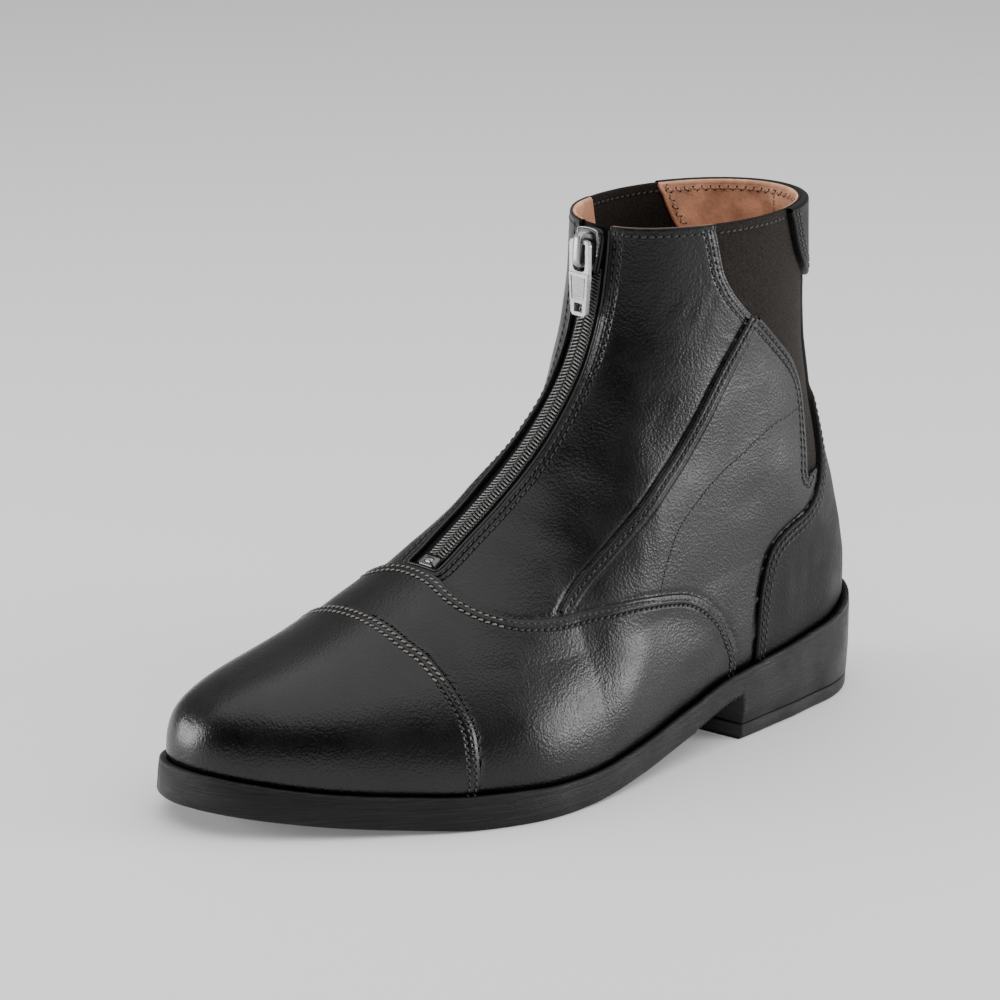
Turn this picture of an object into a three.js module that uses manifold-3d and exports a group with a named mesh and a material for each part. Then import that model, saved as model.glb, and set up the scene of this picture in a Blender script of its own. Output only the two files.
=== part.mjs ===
// A left paddock boot with a front zip, elastic gussets, a toe cap and a low block heel.
// Millimetres, +Z up. The toe points along -Y and the outer side of the foot faces +X.
import * as THREE from "three";
import { mergeVertices } from "three/addons/utils/BufferGeometryUtils.js";
import Module from "manifold-3d";

const wasm = await Module();
wasm.setup();

// Driving dimensions of the sole
const SOLE_LENGTH = 284;
const BALL_WIDTH = 107.5;
const HEEL_WIDTH = 66;
const HEEL_HEIGHT = 16;
const TOE_SPRING = 9;
const SOLE_THICKNESS = 11;
const LIFT_HEIGHT = 5.5;
const BREAST_AT = 0.298;
const BREAST_TURN = 8;
const SOLE_EDGE = 4.6;
const LIP_HEIGHT = 2;
const LIP_WIDTH = 1.5;
const TOE_FLARE = 1.5;
const RIB_PITCH = 2.4;
const RIB_DEPTH = 1.1;
const RIB_COUNT = 11;
const HEEL_ROUND = 0.14;
const TOE_ROUND = 0.32;
const SIDE_STEP = 0.5;
const LIP_BAND = 2.6;
const EDGE_ROUND = 0.9;
const FLARE_LEFT = 0.3;
const HEEL_TOP_INSET = 0.2;
const HEEL_LOW_INSET = 0.7;
const FLOOR_INSET = 1.5;
const LIFT_ROUND = 1.2;

// Driving dimensions of the upper
const INSTEP_HEIGHT = 80;
const COLLAR_HEIGHT = 188;
const SHAFT_WIDTH = 67.5;
const SHAFT_LEAN = -2;
const WALL = 2;
const SIDE_FULLNESS = 0.03;
const VAMP_THICKNESS = 1.2;
const CAP_THICKNESS = 1.9;
const QUARTER_THICKNESS = 1;
const COUNTER_THICKNESS = 1.8;
const ELASTIC_THICKNESS = 1.3;
const ELASTIC_RECESS = 0.4;
const BACKSTAY_DEPTH = 3.6;
const INSOLE_THICKNESS = 2.5;
const INSOLE_MARGIN = 1;
const GAP = 0.3;

// Driving dimensions of the zip
const SLOT_WIDTH = 15;
const CHAIN_WIDTH = 7.5;
const CHAIN_THICKNESS = 1.6;
const TAPE_THICKNESS = 0.9;
const TAPE_DEPTH = 0.5;
const SLOT_START = 0.673;
const SLIDER_LENGTH = 15;
const SLIDER_WIDTH = 11.5;
const SLIDER_THICKNESS = 3.4;
const SLIDER_TOP = 1.5;
const CROWN_WIDTH = 4;
const CROWN_LENGTH = 13;
const CROWN_HEIGHT = 6;
const CROWN_BAR = 1.5;
const PULL_LENGTH = 27;
const PULL_WIDTH = 9.5;
const PULL_TIP_WIDTH = 7.5;
const PULL_THICKNESS = 1.5;
const PULL_WINDOW = 10.5;
const PULL_BAR = 1.5;
const PULL_HOLE = 3;
const PULL_CORNER = 1.8;
const PULL_TIP_CORNER = 1;
const WINDOW_CORNER = 1.2;
const WINDOW_PLAY = 0.9;
const HOLE_MARGIN = 1.45;
const PIVOT_DROP = 4.2;
const PIVOT_STAND = 3;
const CROWN_START = 0.6;
const CROWN_ROOT = 1;
const CHAIN_STOP = 2;

// Sampling of the curved forms
const AROUND = 19;
const LEVELS = 15;
const SOLE_AROUND = 26;
const HEEL_AROUND = 26;
const STEPS_PER_SEAM = 12;
const CREST_STEP = 7;
const LEVEL_CROWDING = 0.1;
const CREST_SAMPLES = 600;
const BREAST_HALVINGS = 40;

// Where the foot's width turns into the shaft's: heights over the seat and shares of length
const LEG_LOW = 8;
const LEG_HIGH = 75;
const LEG_FRONT = 0.66;
const LEG_BACK = 0.4;
const LEAN_FRONT = 0.55;
const LEAN_BACK = 0.35;
const FULLNESS_HEIGHT = 40;
// Greatest depth of the arch over the foot, as a share of the instep height
const ARCH_SHARE = 1.15;
// Levels between which the arch over the foot turns into the rounded front of the shaft
const CLIMB_LOW = 0.42;
const CLIMB_HIGH = 0.72;
// Levels sag to the seat's line between back and front, but not at the crest: how closely the
// sag keeps away from it, and the level from which it does
const CREST_HOLD = 8;
const HOLD_FROM = 0.12;

// Room round the boot in which it is cut, and how far the cutting forms reach past its edges
const BEYOND = 4;
const LEVEL_BEYOND = 1.03;
const FAR = 80;
const ROOM = 10;
const BAND = 9;
const HALF_GUSSET = 5;
const STRIP_START = 2;

// Plan of the sole. along: share of the length from the heel. bend: how far the middle lies
// to the outer side, as a share of the ball width. heel and ball: shares of those widths.
const PLAN = [
  { along: 0.0, bend: 0.0, heel: 1.0, ball: 0.0 },
  { along: 0.12, bend: 0.0, heel: 1.0, ball: 0.0 },
  { along: 0.2, bend: 0.011, heel: 1.05, ball: 0.0 },
  { along: 0.3, bend: 0.046, heel: 0.85, ball: 0.1 },
  { along: 0.4, bend: 0.058, heel: 0.6, ball: 0.27 },
  { along: 0.5, bend: 0.035, heel: 0.3, ball: 0.575 },
  { along: 0.6, bend: -0.026, heel: 0.0, ball: 0.935 },
  { along: 0.68, bend: -0.077, heel: 0.0, ball: 1.0 },
  { along: 0.76, bend: -0.142, heel: 0.0, ball: 0.985 },
  { along: 0.84, bend: -0.214, heel: 0.0, ball: 0.933 },
  { along: 0.92, bend: -0.277, heel: 0.0, ball: 0.915 },
  { along: 1.0, bend: -0.325, heel: 0.0, ball: 0.93 },
];

// Side view of the sole. heel and toe: the underside as shares of the heel height and of
// the toe spring. thick: the side's height as a share of the sole's thickness.
const SIDE = [
  { along: 0.0, heel: 1.62, toe: 0.0, thick: 1.05 },
  { along: 0.12, heel: 1.28, toe: 0.0, thick: 0.91 },
  { along: 0.26, heel: 1.06, toe: 0.0, thick: 0.86 },
  { along: 0.31, heel: 0.98, toe: 0.0, thick: 0.84 },
  { along: 0.4, heel: 0.56, toe: 0.0, thick: 0.92 },
  { along: 0.5, heel: 0.21, toe: 0.0, thick: 0.94 },
  { along: 0.6, heel: 0.02, toe: 0.0, thick: 0.97 },
  { along: 0.64, heel: 0.0, toe: 0.0, thick: 1.0 },
  { along: 0.74, heel: 0.0, toe: 0.0, thick: 1.09 },
  { along: 0.8, heel: 0.0, toe: 0.14, thick: 1.05 },
  { along: 0.88, heel: 0.0, toe: 0.4, thick: 1.04 },
  { along: 1.0, heel: 0.0, toe: 1.0, thick: 1.14 },
];

// Crest of the upper in side view, from the toe's feather line up to the collar.
// foot: share of the instep height. shaft: share of the height from there to the collar.
// across: place of the crest to the outer side, as a share of the ball width.
// box: how square the arch over the foot is, 2 being an ellipse.
const CREST = [
  { along: 1.0, foot: 0.26, shaft: 0.0, across: -0.325, box: 2.6 },
  { along: 0.998, foot: 0.345, shaft: 0.0, across: -0.323, box: 2.6 },
  { along: 0.99, foot: 0.425, shaft: 0.0, across: -0.32, box: 2.6 },
  { along: 0.972, foot: 0.497, shaft: 0.0, across: -0.312, box: 2.55 },
  { along: 0.94, foot: 0.558, shaft: 0.0, across: -0.288, box: 2.5 },
  { along: 0.9, foot: 0.608, shaft: 0.0, across: -0.262, box: 2.45 },
  { along: 0.85, foot: 0.666, shaft: 0.0, across: -0.23, box: 2.35 },
  { along: 0.8, foot: 0.735, shaft: 0.0, across: -0.198, box: 2.25 },
  { along: 0.74, foot: 0.84, shaft: 0.0, across: -0.164, box: 2.15 },
  { along: 0.674, foot: 0.965, shaft: 0.0, across: -0.135, box: 2.05 },
  { along: 0.631, foot: 1.0, shaft: 0.055, across: -0.12, box: 1.98 },
  { along: 0.586, foot: 1.0, shaft: 0.148, across: -0.1, box: 1.95 },
  { along: 0.546, foot: 1.0, shaft: 0.242, across: -0.08, box: 1.95 },
  { along: 0.512, foot: 1.0, shaft: 0.348, across: -0.055, box: 1.95 },
  { along: 0.483, foot: 1.0, shaft: 0.452, across: -0.042, box: 1.97 },
  { along: 0.461, foot: 1.0, shaft: 0.55, across: -0.034, box: 2.1 },
  { along: 0.446, foot: 1.0, shaft: 0.66, across: -0.026, box: 2.1 },
  { along: 0.436, foot: 1.0, shaft: 0.79, across: -0.018, box: 2.1 },
  { along: 0.43, foot: 1.0, shaft: 0.96, across: -0.014, box: 2.1 },
  { along: 0.428, foot: 1.0, shaft: 1.08, across: -0.014, box: 2.1 },
];

// Back line and width of the shaft by height, up: share of the collar's height.
// back: inset from the sole's back end as a share of its length. wide: share of the shaft's
// width. front and rear: depth of the rounded ends as shares of the sole's length.
const SHAFT = [
  { up: 0.1, back: 0.012, wide: 0.92, front: 0.3, rear: 0.14 },
  { up: 0.19, back: 0.006, wide: 0.95, front: 0.3, rear: 0.14 },
  { up: 0.26, back: 0.008, wide: 0.98, front: 0.3, rear: 0.14 },
  { up: 0.33, back: 0.018, wide: 1.01, front: 0.3, rear: 0.145 },
  { up: 0.42, back: 0.037, wide: 1.03, front: 0.28, rear: 0.15 },
  { up: 0.505, back: 0.056, wide: 1.02, front: 0.25, rear: 0.155 },
  { up: 0.59, back: 0.07, wide: 1.0, front: 0.22, rear: 0.16 },
  { up: 0.66, back: 0.077, wide: 0.99, front: 0.19, rear: 0.165 },
  { up: 0.73, back: 0.083, wide: 0.98, front: 0.175, rear: 0.168 },
  { up: 0.87, back: 0.086, wide: 0.99, front: 0.17, rear: 0.17 },
  { up: 1.0, back: 0.088, wide: 1.0, front: 0.17, rear: 0.17 },
  { up: 1.06, back: 0.088, wide: 1.0, front: 0.17, rear: 0.17 },
];

// Seams in side view, alike on both sides, from top to bottom. Columns as in the crest.
const CAP_SEAM = [
  { along: 0.757, foot: 1.3, shaft: 0.0 },
  { along: 0.756, foot: 0.79, shaft: 0.0 },
  { along: 0.747, foot: 0.69, shaft: 0.0 },
  { along: 0.74, foot: 0.55, shaft: 0.0 },
  { along: 0.736, foot: 0.42, shaft: 0.0 },
  { along: 0.738, foot: 0.3, shaft: 0.0 },
  { along: 0.741, foot: 0.0, shaft: 0.0 },
];
const VAMP_SEAM = [
  { along: 0.674, foot: 1.3, shaft: 0.0 },
  { along: 0.677, foot: 0.96, shaft: 0.0 },
  { along: 0.68, foot: 0.89, shaft: 0.0 },
  { along: 0.672, foot: 0.845, shaft: 0.0 },
  { along: 0.655, foot: 0.812, shaft: 0.0 },
  { along: 0.63, foot: 0.786, shaft: 0.0 },
  { along: 0.577, foot: 0.774, shaft: 0.0 },
  { along: 0.526, foot: 0.79, shaft: 0.0 },
  { along: 0.473, foot: 0.797, shaft: 0.0 },
  { along: 0.41, foot: 0.768, shaft: 0.0 },
  { along: 0.376, foot: 0.728, shaft: 0.0 },
  { along: 0.348, foot: 0.66, shaft: 0.0 },
  { along: 0.323, foot: 0.56, shaft: 0.0 },
  { along: 0.305, foot: 0.44, shaft: 0.0 },
  { along: 0.3, foot: 0.34, shaft: 0.0 },
  { along: 0.3, foot: 0.0, shaft: 0.0 },
];
const DIAGONAL_SEAM = [
  { along: 0.273, foot: 1.0, shaft: 0.68 },
  { along: 0.32, foot: 1.0, shaft: 0.53 },
  { along: 0.388, foot: 1.0, shaft: 0.305 },
  { along: 0.436, foot: 1.0, shaft: 0.19 },
  { along: 0.497, foot: 1.0, shaft: 0.04 },
  { along: 0.541, foot: 0.91, shaft: 0.0 },
  { along: 0.577, foot: 0.8, shaft: 0.0 },
];
const FRONT_QUARTER_EDGE = [
  { along: 0.33, foot: 1.0, shaft: 1.1 },
  { along: 0.329, foot: 1.0, shaft: 1.0 },
  { along: 0.325, foot: 1.0, shaft: 0.95 },
  { along: 0.32, foot: 1.0, shaft: 0.89 },
  { along: 0.314, foot: 1.0, shaft: 0.83 },
  { along: 0.298, foot: 1.0, shaft: 0.76 },
  { along: 0.273, foot: 1.0, shaft: 0.69 },
];
const REAR_QUARTER_EDGE = [
  { along: 0.255, foot: 1.0, shaft: 0.665 },
  { along: 0.222, foot: 1.0, shaft: 0.585 },
  { along: 0.186, foot: 1.0, shaft: 0.492 },
  { along: 0.165, foot: 1.0, shaft: 0.4 },
  { along: 0.158, foot: 1.0, shaft: 0.3 },
  { along: 0.159, foot: 1.0, shaft: 0.2 },
  { along: 0.163, foot: 1.0, shaft: 0.09 },
];
const COUNTER_EDGE = [
  { along: 0.106, foot: 1.0, shaft: 0.3 },
  { along: 0.118, foot: 1.0, shaft: 0.14 },
  { along: 0.139, foot: 1.0, shaft: 0.035 },
  { along: 0.166, foot: 0.962, shaft: 0.0 },
  { along: 0.209, foot: 0.9, shaft: 0.0 },
  { along: 0.238, foot: 0.82, shaft: 0.0 },
  { along: 0.252, foot: 0.7, shaft: 0.0 },
  { along: 0.26, foot: 0.56, shaft: 0.0 },
  { along: 0.263, foot: 0.35, shaft: 0.0 },
  { along: 0.264, foot: 0.0, shaft: 0.0 },
];
const TAB_EDGE = [
  { along: 0.206, foot: 1.0, shaft: 1.1 },
  { along: 0.203, foot: 1.0, shaft: 1.0 },
  { along: 0.195, foot: 1.0, shaft: 0.96 },
  { along: 0.189, foot: 1.0, shaft: 0.92 },
  { along: 0.176, foot: 1.0, shaft: 0.85 },
  { along: 0.155, foot: 1.0, shaft: 0.785 },
  { along: 0.125, foot: 1.0, shaft: 0.73 },
  { along: 0.095, foot: 1.0, shaft: 0.7 },
  { along: 0.05, foot: 1.0, shaft: 0.69 },
];

// Outline of the slider's body, from its top to its lower end. down: share of its length.
// wide: share of its width.
const SHIELD = [
  { down: 0.0, wide: 0.7 },
  { down: 0.22, wide: 1.0 },
  { down: 0.6, wide: 0.9 },
  { down: 1.0, wide: 0.72 },
];

// Arch of the crown in side view. down: share of its length. stand: share of its height.
const CROWN_ARCH = [
  { down: 0.0, stand: 0.7 },
  { down: 0.15, stand: 1.0 },
  { down: 0.8, stand: 1.0 },
  { down: 1.0, stand: 0.65 },
];

// Monotone cubic reading of one column of a table.
function read(rows, by, column, at) {
  const last = rows.length - 1;
  const slope = (i) => (rows[i + 1][column] - rows[i][column]) / (rows[i + 1][by] - rows[i][by]);
  const tangent = (i) => {
    if (i === 0) return slope(0);
    if (i === last) return slope(last - 1);
    const a = slope(i - 1);
    const b = slope(i);
    if (a * b <= 0) return 0;
    const ha = Math.abs(rows[i][by] - rows[i - 1][by]);
    const hb = Math.abs(rows[i + 1][by] - rows[i][by]);
    return (3 * (ha + hb)) / ((2 * hb + ha) / a + (hb + 2 * ha) / b);
  };
  const up = rows[last][by] > rows[0][by] ? 1 : -1;
  let i = 0;
  while (i < last - 1 && up * (at - rows[i + 1][by]) > 0) i++;
  const h = rows[i + 1][by] - rows[i][by];
  const f = THREE.MathUtils.clamp((at - rows[i][by]) / h, 0, 1);
  const a = rows[i][column];
  const b = rows[i + 1][column];
  const ma = tangent(i) * h;
  const mb = tangent(i + 1) * h;
  return (
    (2 * f ** 3 - 3 * f ** 2 + 1) * a +
    (f ** 3 - 2 * f ** 2 + f) * ma +
    (3 * f ** 2 - 2 * f ** 3) * b +
    (f ** 3 - f ** 2) * mb
  );
}

const mix = (a, b, f) => a + (b - a) * f;
// Soft step from 0 at a to 1 at b, whichever of the two is larger.
const smooth = (a, b, at) => {
  const f = THREE.MathUtils.clamp((at - a) / (b - a), 0, 1);
  return f * f * (3 - 2 * f);
};
// Rounded end: 0 at the tip, 1 from one depth on.
const rounded = (r, power = 2) =>
  (1 - (1 - THREE.MathUtils.clamp(r, 0, 1)) ** power) ** (1 / power);

const HALF_LENGTH = SOLE_LENGTH / 2;
const alongOf = (y) => (HALF_LENGTH - y) / SOLE_LENGTH;
const yOf = (along) => HALF_LENGTH - along * SOLE_LENGTH;

// Heights of the sole's underside, of its rim and of the seat that carries the upper.
const underside = (along) =>
  read(SIDE, "along", "heel", along) * HEEL_HEIGHT + read(SIDE, "along", "toe", along) * TOE_SPRING;
const rim = (along) => underside(along) + read(SIDE, "along", "thick", along) * SOLE_THICKNESS;
const seat = (along) => rim(along) - LIP_HEIGHT;

// Middle and half width of the plan before its two ends are rounded.
const middle = (along) => read(PLAN, "along", "bend", along) * BALL_WIDTH;
const plainHalf = (along) => {
  const heel = read(PLAN, "along", "heel", along) * HEEL_WIDTH;
  const ball = read(PLAN, "along", "ball", along) * BALL_WIDTH;
  return (heel + ball) / 2;
};
const planHalf = (along) =>
  plainHalf(along) * rounded(along / HEEL_ROUND) * rounded((1 - along) / TOE_ROUND);

// A point of the plan outline, drawn in by inset. turn runs from 0 at the toe along the outer
// side to 0.5 at the heel and back along the inner side to 1.
function planPoint(turn, inset) {
  const share = (1 + Math.cos(2 * Math.PI * turn)) / 2;
  const side = turn <= 0.5 ? 1 : -1;
  const half = Math.max(planHalf(share) * (1 - inset / plainHalf(share)), 0);
  const y = mix(HALF_LENGTH - inset, inset - HALF_LENGTH, share);
  return [middle(share) + side * half, y];
}

// Crest rows as points, and the same curve sampled by its length.
const LEG_RISE = COLLAR_HEIGHT - INSTEP_HEIGHT;
const crestHeight = (row) => row.foot * INSTEP_HEIGHT + row.shaft * LEG_RISE;
const UPPER_BACK = HALF_LENGTH - SOLE_EDGE;
const UPPER_FRONT = SOLE_EDGE - HALF_LENGTH;
const upperY = (along) => mix(UPPER_BACK, UPPER_FRONT, along);
const upperAlong = (y) => (UPPER_BACK - y) / (UPPER_BACK - UPPER_FRONT);
const crestRows = CREST.map((row) => ({
  y: upperY(row.along),
  z: crestHeight(row),
  x: row.across * BALL_WIDTH,
  box: row.box,
}));
crestRows.reduce((before, row) => {
  row.run = before ? before.run + Math.hypot(row.y - before.y, row.z - before.z) : 0;
  return row;
}, null);
const crest = Array.from({ length: CREST_SAMPLES + 1 }, (_, i) => {
  const run = (crestRows[crestRows.length - 1].run * i) / CREST_SAMPLES;
  const at = (column) => read(crestRows, "run", column, run);
  return { run, y: at("y"), z: at("z"), x: at("x"), box: at("box") };
});

// Straight-line reading of the sampled crest by y, z or run.
function onCrest(by, value, column) {
  const last = crest.length - 1;
  if (value <= crest[0][by]) return crest[0][column];
  if (value >= crest[last][by]) return crest[last][column];
  let low = 0;
  let high = last;
  while (high - low > 1) {
    const half = (low + high) >> 1;
    if (crest[half][by] <= value) low = half;
    else high = half;
  }
  const span = crest[high][by] - crest[low][by];
  const f = span > 0 ? (value - crest[low][by]) / span : 0;
  return mix(crest[low][column], crest[high][column], f);
}

const shaftRead = (column, z) => read(SHAFT, "up", column, z / COLLAR_HEIGHT);
const backLine = (z) => HALF_LENGTH - shaftRead("back", z) * SOLE_LENGTH - SOLE_EDGE / 2;

// Half widths of the upper's outer face at a side-view point. climb: 0 over the foot, where
// the arch is measured upwards, to 1 in the shaft, where it is measured from the front.
function section(y, z, climb) {
  const share = THREE.MathUtils.clamp(upperAlong(y), 0, 1);
  const foot = Math.max(z - seat(share), 0);
  const top = onCrest("y", y, "z");
  const depth = Math.min(top - seat(share), ARCH_SHARE * INSTEP_HEIGHT);
  const q = THREE.MathUtils.clamp(1 - (top - z) / Math.max(depth, 0.01), 0, 1);
  const box = onCrest("y", y, "box");
  const upArch = (1 - q ** box) ** (1 / box);
  const frontArch = rounded(
    (y - onCrest("z", z, "y")) / (shaftRead("front", z) * SOLE_LENGTH),
    onCrest("z", z, "box"),
  );
  const arch = mix(upArch, frontArch, climb);
  const toe = rounded((1 - share) / TOE_ROUND);
  const heel = rounded((backLine(z) - y) / (shaftRead("rear", z) * SOLE_LENGTH));
  const inLeg = smooth(LEG_LOW, LEG_HIGH, foot) * smooth(LEG_FRONT, LEG_BACK, share);
  const low = plainHalf(share) - SOLE_EDGE;
  const high = (shaftRead("wide", z) * SHAFT_WIDTH) / 2;
  const swell = Math.sin(Math.PI * THREE.MathUtils.clamp(foot / FULLNESS_HEIGHT, 0, 1));
  const bulge = 1 + SIDE_FULLNESS * swell;
  const half = mix(low, high, inLeg) * arch * mix(toe, 1, climb) * heel * bulge;
  const lean = smooth(0, 1, q) * (1 - smooth(LEAN_FRONT, LEAN_BACK, share));
  const foreMiddle = mix(middle(share), onCrest("y", y, "x"), lean);
  const centre = mix(foreMiddle, SHAFT_LEAN * (z / COLLAR_HEIGHT), inLeg * (1 - lean));
  return { centre, half };
}

// One point of the upper's form. level: 0 at the feather line to 1 at the collar, a little
// more above it, and less than 0 for the points straight below. turn: as in planPoint.
const FEATHER_BACK = seat(0) + GAP;
const FEATHER_FRONT = seat(1) + GAP;
const CREST_END = onCrest("z", COLLAR_HEIGHT, "run");
function formPoint(level, turn) {
  const rise = Math.max(level, 0);
  const run = CREST_END * mix(rise, rise ** 2, LEVEL_CROWDING);
  const front = { y: onCrest("run", run, "y"), z: onCrest("run", run, "z") };
  const backZ = mix(FEATHER_BACK, COLLAR_HEIGHT, rise);
  const back = { y: backLine(backZ), z: backZ };
  const share = (1 + Math.cos(2 * Math.PI * turn)) / 2;
  const y = mix(back.y, front.y, share);
  const along = THREE.MathUtils.clamp(upperAlong(y), 0, 1);
  const dip = seat(along) + GAP - mix(FEATHER_BACK, FEATHER_FRONT, along);
  const held = share ** CREST_HOLD * smooth(0, HOLD_FROM, rise);
  const z = mix(back.z, front.z, share) + dip * (1 - rise) ** 2 * (1 - held);
  const climb = smooth(CLIMB_LOW, CLIMB_HIGH, rise);
  const { centre, half } = section(y, z, climb);
  const side = turn === 0 || turn === 0.5 || turn === 1 ? 0 : turn < 0.5 ? 1 : -1;
  return new THREE.Vector3(centre + side * half, y, level < 0 ? z - BEYOND : z);
}

// Levels of the form, with one below the feather line and one above the collar.
const inner = Array.from({ length: LEVELS }, (_, i) => i / (LEVELS - 1));
const levels = [-1, ...inner, LEVEL_BEYOND];
const turns = Array.from({ length: 2 * AROUND }, (_, j) => j / (2 * AROUND));

// Closed solid from rings of equal length, each a list of points. Its two ends are closed by
// ladders of cross strips from the first point's pair on. Each four-sided face is split along
// the diagonal that is the shorter one in the pattern.
function ringSolid(rings, tipped = true, pattern = rings) {
  const count = rings[0].length;
  const positions = rings.flat().flatMap((p) => [p.x, p.y, p.z]);
  const index = [];
  for (let i = 0; i + 1 < rings.length; i++) {
    for (let j = 0; j < count; j++) {
      const k = (j + 1) % count;
      const a = i * count + j;
      const b = i * count + k;
      const c = (i + 1) * count + k;
      const d = (i + 1) * count + j;
      const straight = pattern[i][j].distanceTo(pattern[i + 1][k]);
      const crossed = pattern[i][k].distanceTo(pattern[i + 1][j]);
      if (straight <= crossed) index.push(a, b, c, a, c, d);
      else index.push(a, b, d, b, c, d);
    }
  }
  const pairs = tipped
    ? Array.from({ length: count / 2 + 1 }, (_, i) => [i, (count - i) % count])
    : Array.from({ length: count / 2 }, (_, i) => [i, count - 1 - i]);
  const last = (rings.length - 1) * count;
  for (let i = 0; i + 1 < pairs.length; i++) {
    const [a, d] = pairs[i];
    const [b, c] = pairs[i + 1];
    for (const [p, q, r] of [[a, b, c], [a, c, d]]) {
      if (p === q || q === r || p === r) continue;
      index.push(p, r, q);
      index.push(last + p, last + q, last + r);
    }
  }
  return solid(positions, index);
}

// A manifold-3d solid from positions and triangles, turned to face out.
function solid(positions, index) {
  const make = (tri) =>
    new wasm.Manifold(
      new wasm.Mesh({
        numProp: 3,
        vertProperties: new Float32Array(positions),
        triVerts: new Uint32Array(tri),
      }),
    );
  const made = make(index);
  if (made.volume() > 0) return made;
  const flipped = [];
  for (let i = 0; i < index.length; i += 3) flipped.push(index[i], index[i + 2], index[i + 1]);
  return make(flipped);
}

// A three.js geometry as a manifold-3d solid.
function solidOf(geometry) {
  const plain = new THREE.BufferGeometry();
  const source = geometry.index ? geometry.toNonIndexed() : geometry;
  plain.setAttribute("position", source.getAttribute("position"));
  const merged = mergeVertices(plain, 1e-4);
  return solid(Array.from(merged.attributes.position.array), Array.from(merged.index.array));
}

// Side-view outline, points [y, z], extruded along X from x0 to x1.
function sidePrism(points, x0, x1) {
  const shape = new THREE.Shape(points.map(([y, z]) => new THREE.Vector2(y, z)));
  const geometry = new THREE.ExtrudeGeometry(shape, { depth: x1 - x0, bevelEnabled: false });
  const turn = new THREE.Matrix4().makeBasis(
    new THREE.Vector3(0, 1, 0),
    new THREE.Vector3(0, 0, 1),
    new THREE.Vector3(1, 0, 0),
  );
  return solidOf(geometry.applyMatrix4(turn).translate(x0, 0, 0));
}

const group = new THREE.Group();
function add(name, made, color, roughness, metalness = 0) {
  const mesh = made.getMesh();
  const geometry = new THREE.BufferGeometry();
  geometry.setAttribute("position", new THREE.BufferAttribute(mesh.vertProperties, 3));
  geometry.setIndex(new THREE.BufferAttribute(mesh.triVerts, 1));
  const material = new THREE.MeshStandardMaterial({ color, roughness, metalness });
  const piece = new THREE.Mesh(geometry, material);
  piece.name = name;
  group.add(piece);
}

// The form grown or drawn in along its normals.
const plainGrid = levels.map((level) => turns.map((turn) => formPoint(level, turn)));
const normalGrid = plainGrid.map((ring, i) =>
  ring.map((_, j) => {
    const up = plainGrid[Math.min(i + 1, levels.length - 1)][j].clone();
    up.sub(plainGrid[Math.max(i - 1, 0)][j]);
    const along = ring[(j + 1) % ring.length].clone();
    along.sub(ring[(j + ring.length - 1) % ring.length]);
    return along.cross(up).normalize();
  }),
);
function form(offset) {
  const rings = plainGrid.map((ring, i) =>
    ring.map((p, j) => p.clone().addScaledVector(normalGrid[i][j], offset)),
  );
  return ringSolid(rings, true, plainGrid);
}

// Side-view points of a table, and those points in smooth steps.
const sidePoint = (row) => [yOf(row.along), crestHeight(row)];
function seamPoints(rows) {
  const curve = new THREE.SplineCurve(rows.map((row) => new THREE.Vector2(...sidePoint(row))));
  return curve.getSpacedPoints(STEPS_PER_SEAM).map((p) => [p.x, p.y]);
}
const shifted = (points, dy, dz = 0) => points.map(([y, z]) => [y + dy, z + dz]);

// Corners of the side-view cuts.
const HIGH = COLLAR_HEIGHT + 2 * ROOM;
const steps = (count) => Array.from({ length: count + 1 }, (_, i) => i / count);
const featherLine = steps(20).map((along) => [upperY(along), seat(along) + GAP]);
const BEFORE = -HALF_LENGTH - ROOM;
const BEHIND = HALF_LENGTH + ROOM;
const wholeSide = [
  [BEHIND, COLLAR_HEIGHT],
  [BEHIND, seat(0) + GAP],
  ...featherLine,
  [BEFORE, seat(1) + GAP],
  [BEFORE, COLLAR_HEIGHT],
];
const trim = sidePrism(wholeSide, -FAR, FAR);
const forms = new Map();
function formAt(offset) {
  if (!forms.has(offset)) forms.set(offset, form(offset));
  return forms.get(offset);
}
const shell = (outer, inner) => formAt(outer).subtract(formAt(inner)).intersect(trim);

// Band along the crest for the zip: from one run of the crest to another, half a width to
// each side and from one height over the crest to another.
function crestBand(from, to, width, low, high) {
  const count = Math.ceil((to - from) / CREST_STEP);
  const rings = steps(count).map((f) => {
    const run = mix(from, to, f);
    const at = (shift, column) => onCrest("run", run + shift, column);
    const dy = at(1, "y") - at(-1, "y");
    const dz = at(1, "z") - at(-1, "z");
    const long = Math.hypot(dy, dz);
    const point = (side, height) =>
      new THREE.Vector3(
        at(0, "x") + (side * width) / 2,
        at(0, "y") - (height * dz) / long,
        at(0, "z") + (height * dy) / long,
      );
    return [point(1, low), point(1, high), point(-1, high), point(-1, low)];
  });
  return ringSolid(rings, false);
}
const slotStart = onCrest("y", yOf(SLOT_START), "run");
const beyondCollar = CREST_END + 2 * BEYOND;
const slot = crestBand(slotStart, beyondCollar, SLOT_WIDTH, -BAND, BAND);

// Elastic gussets sit in cut-outs between the quarters and the backstay strip.
const stripLine = (inset, from, to) =>
  steps(8).map((f) => {
    const z = mix(from, to, f);
    return [backLine(z) - BACKSTAY_DEPTH - inset, z];
  });
const counterTop = crestHeight(COUNTER_EDGE[0]);
function gussetOutline(inset) {
  return [
    ...shifted(seamPoints(FRONT_QUARTER_EDGE), inset),
    ...shifted(seamPoints(REAR_QUARTER_EDGE), inset, inset),
    ...shifted(seamPoints(COUNTER_EDGE.slice(0, 3)).reverse(), -inset, inset),
    ...stripLine(inset, counterTop + STRIP_START, HIGH),
  ];
}
const sides = [
  { name: "left", x0: HALF_GUSSET, x1: FAR },
  { name: "right", x0: -FAR, x1: -HALF_GUSSET },
];

const base = shell(0, -WALL);
let upper = base.subtract(slot);
for (const { x0, x1 } of sides) upper = upper.subtract(sidePrism(gussetOutline(0), x0, x1));
add("upper", upper, 0x141414, 0.5);

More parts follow.
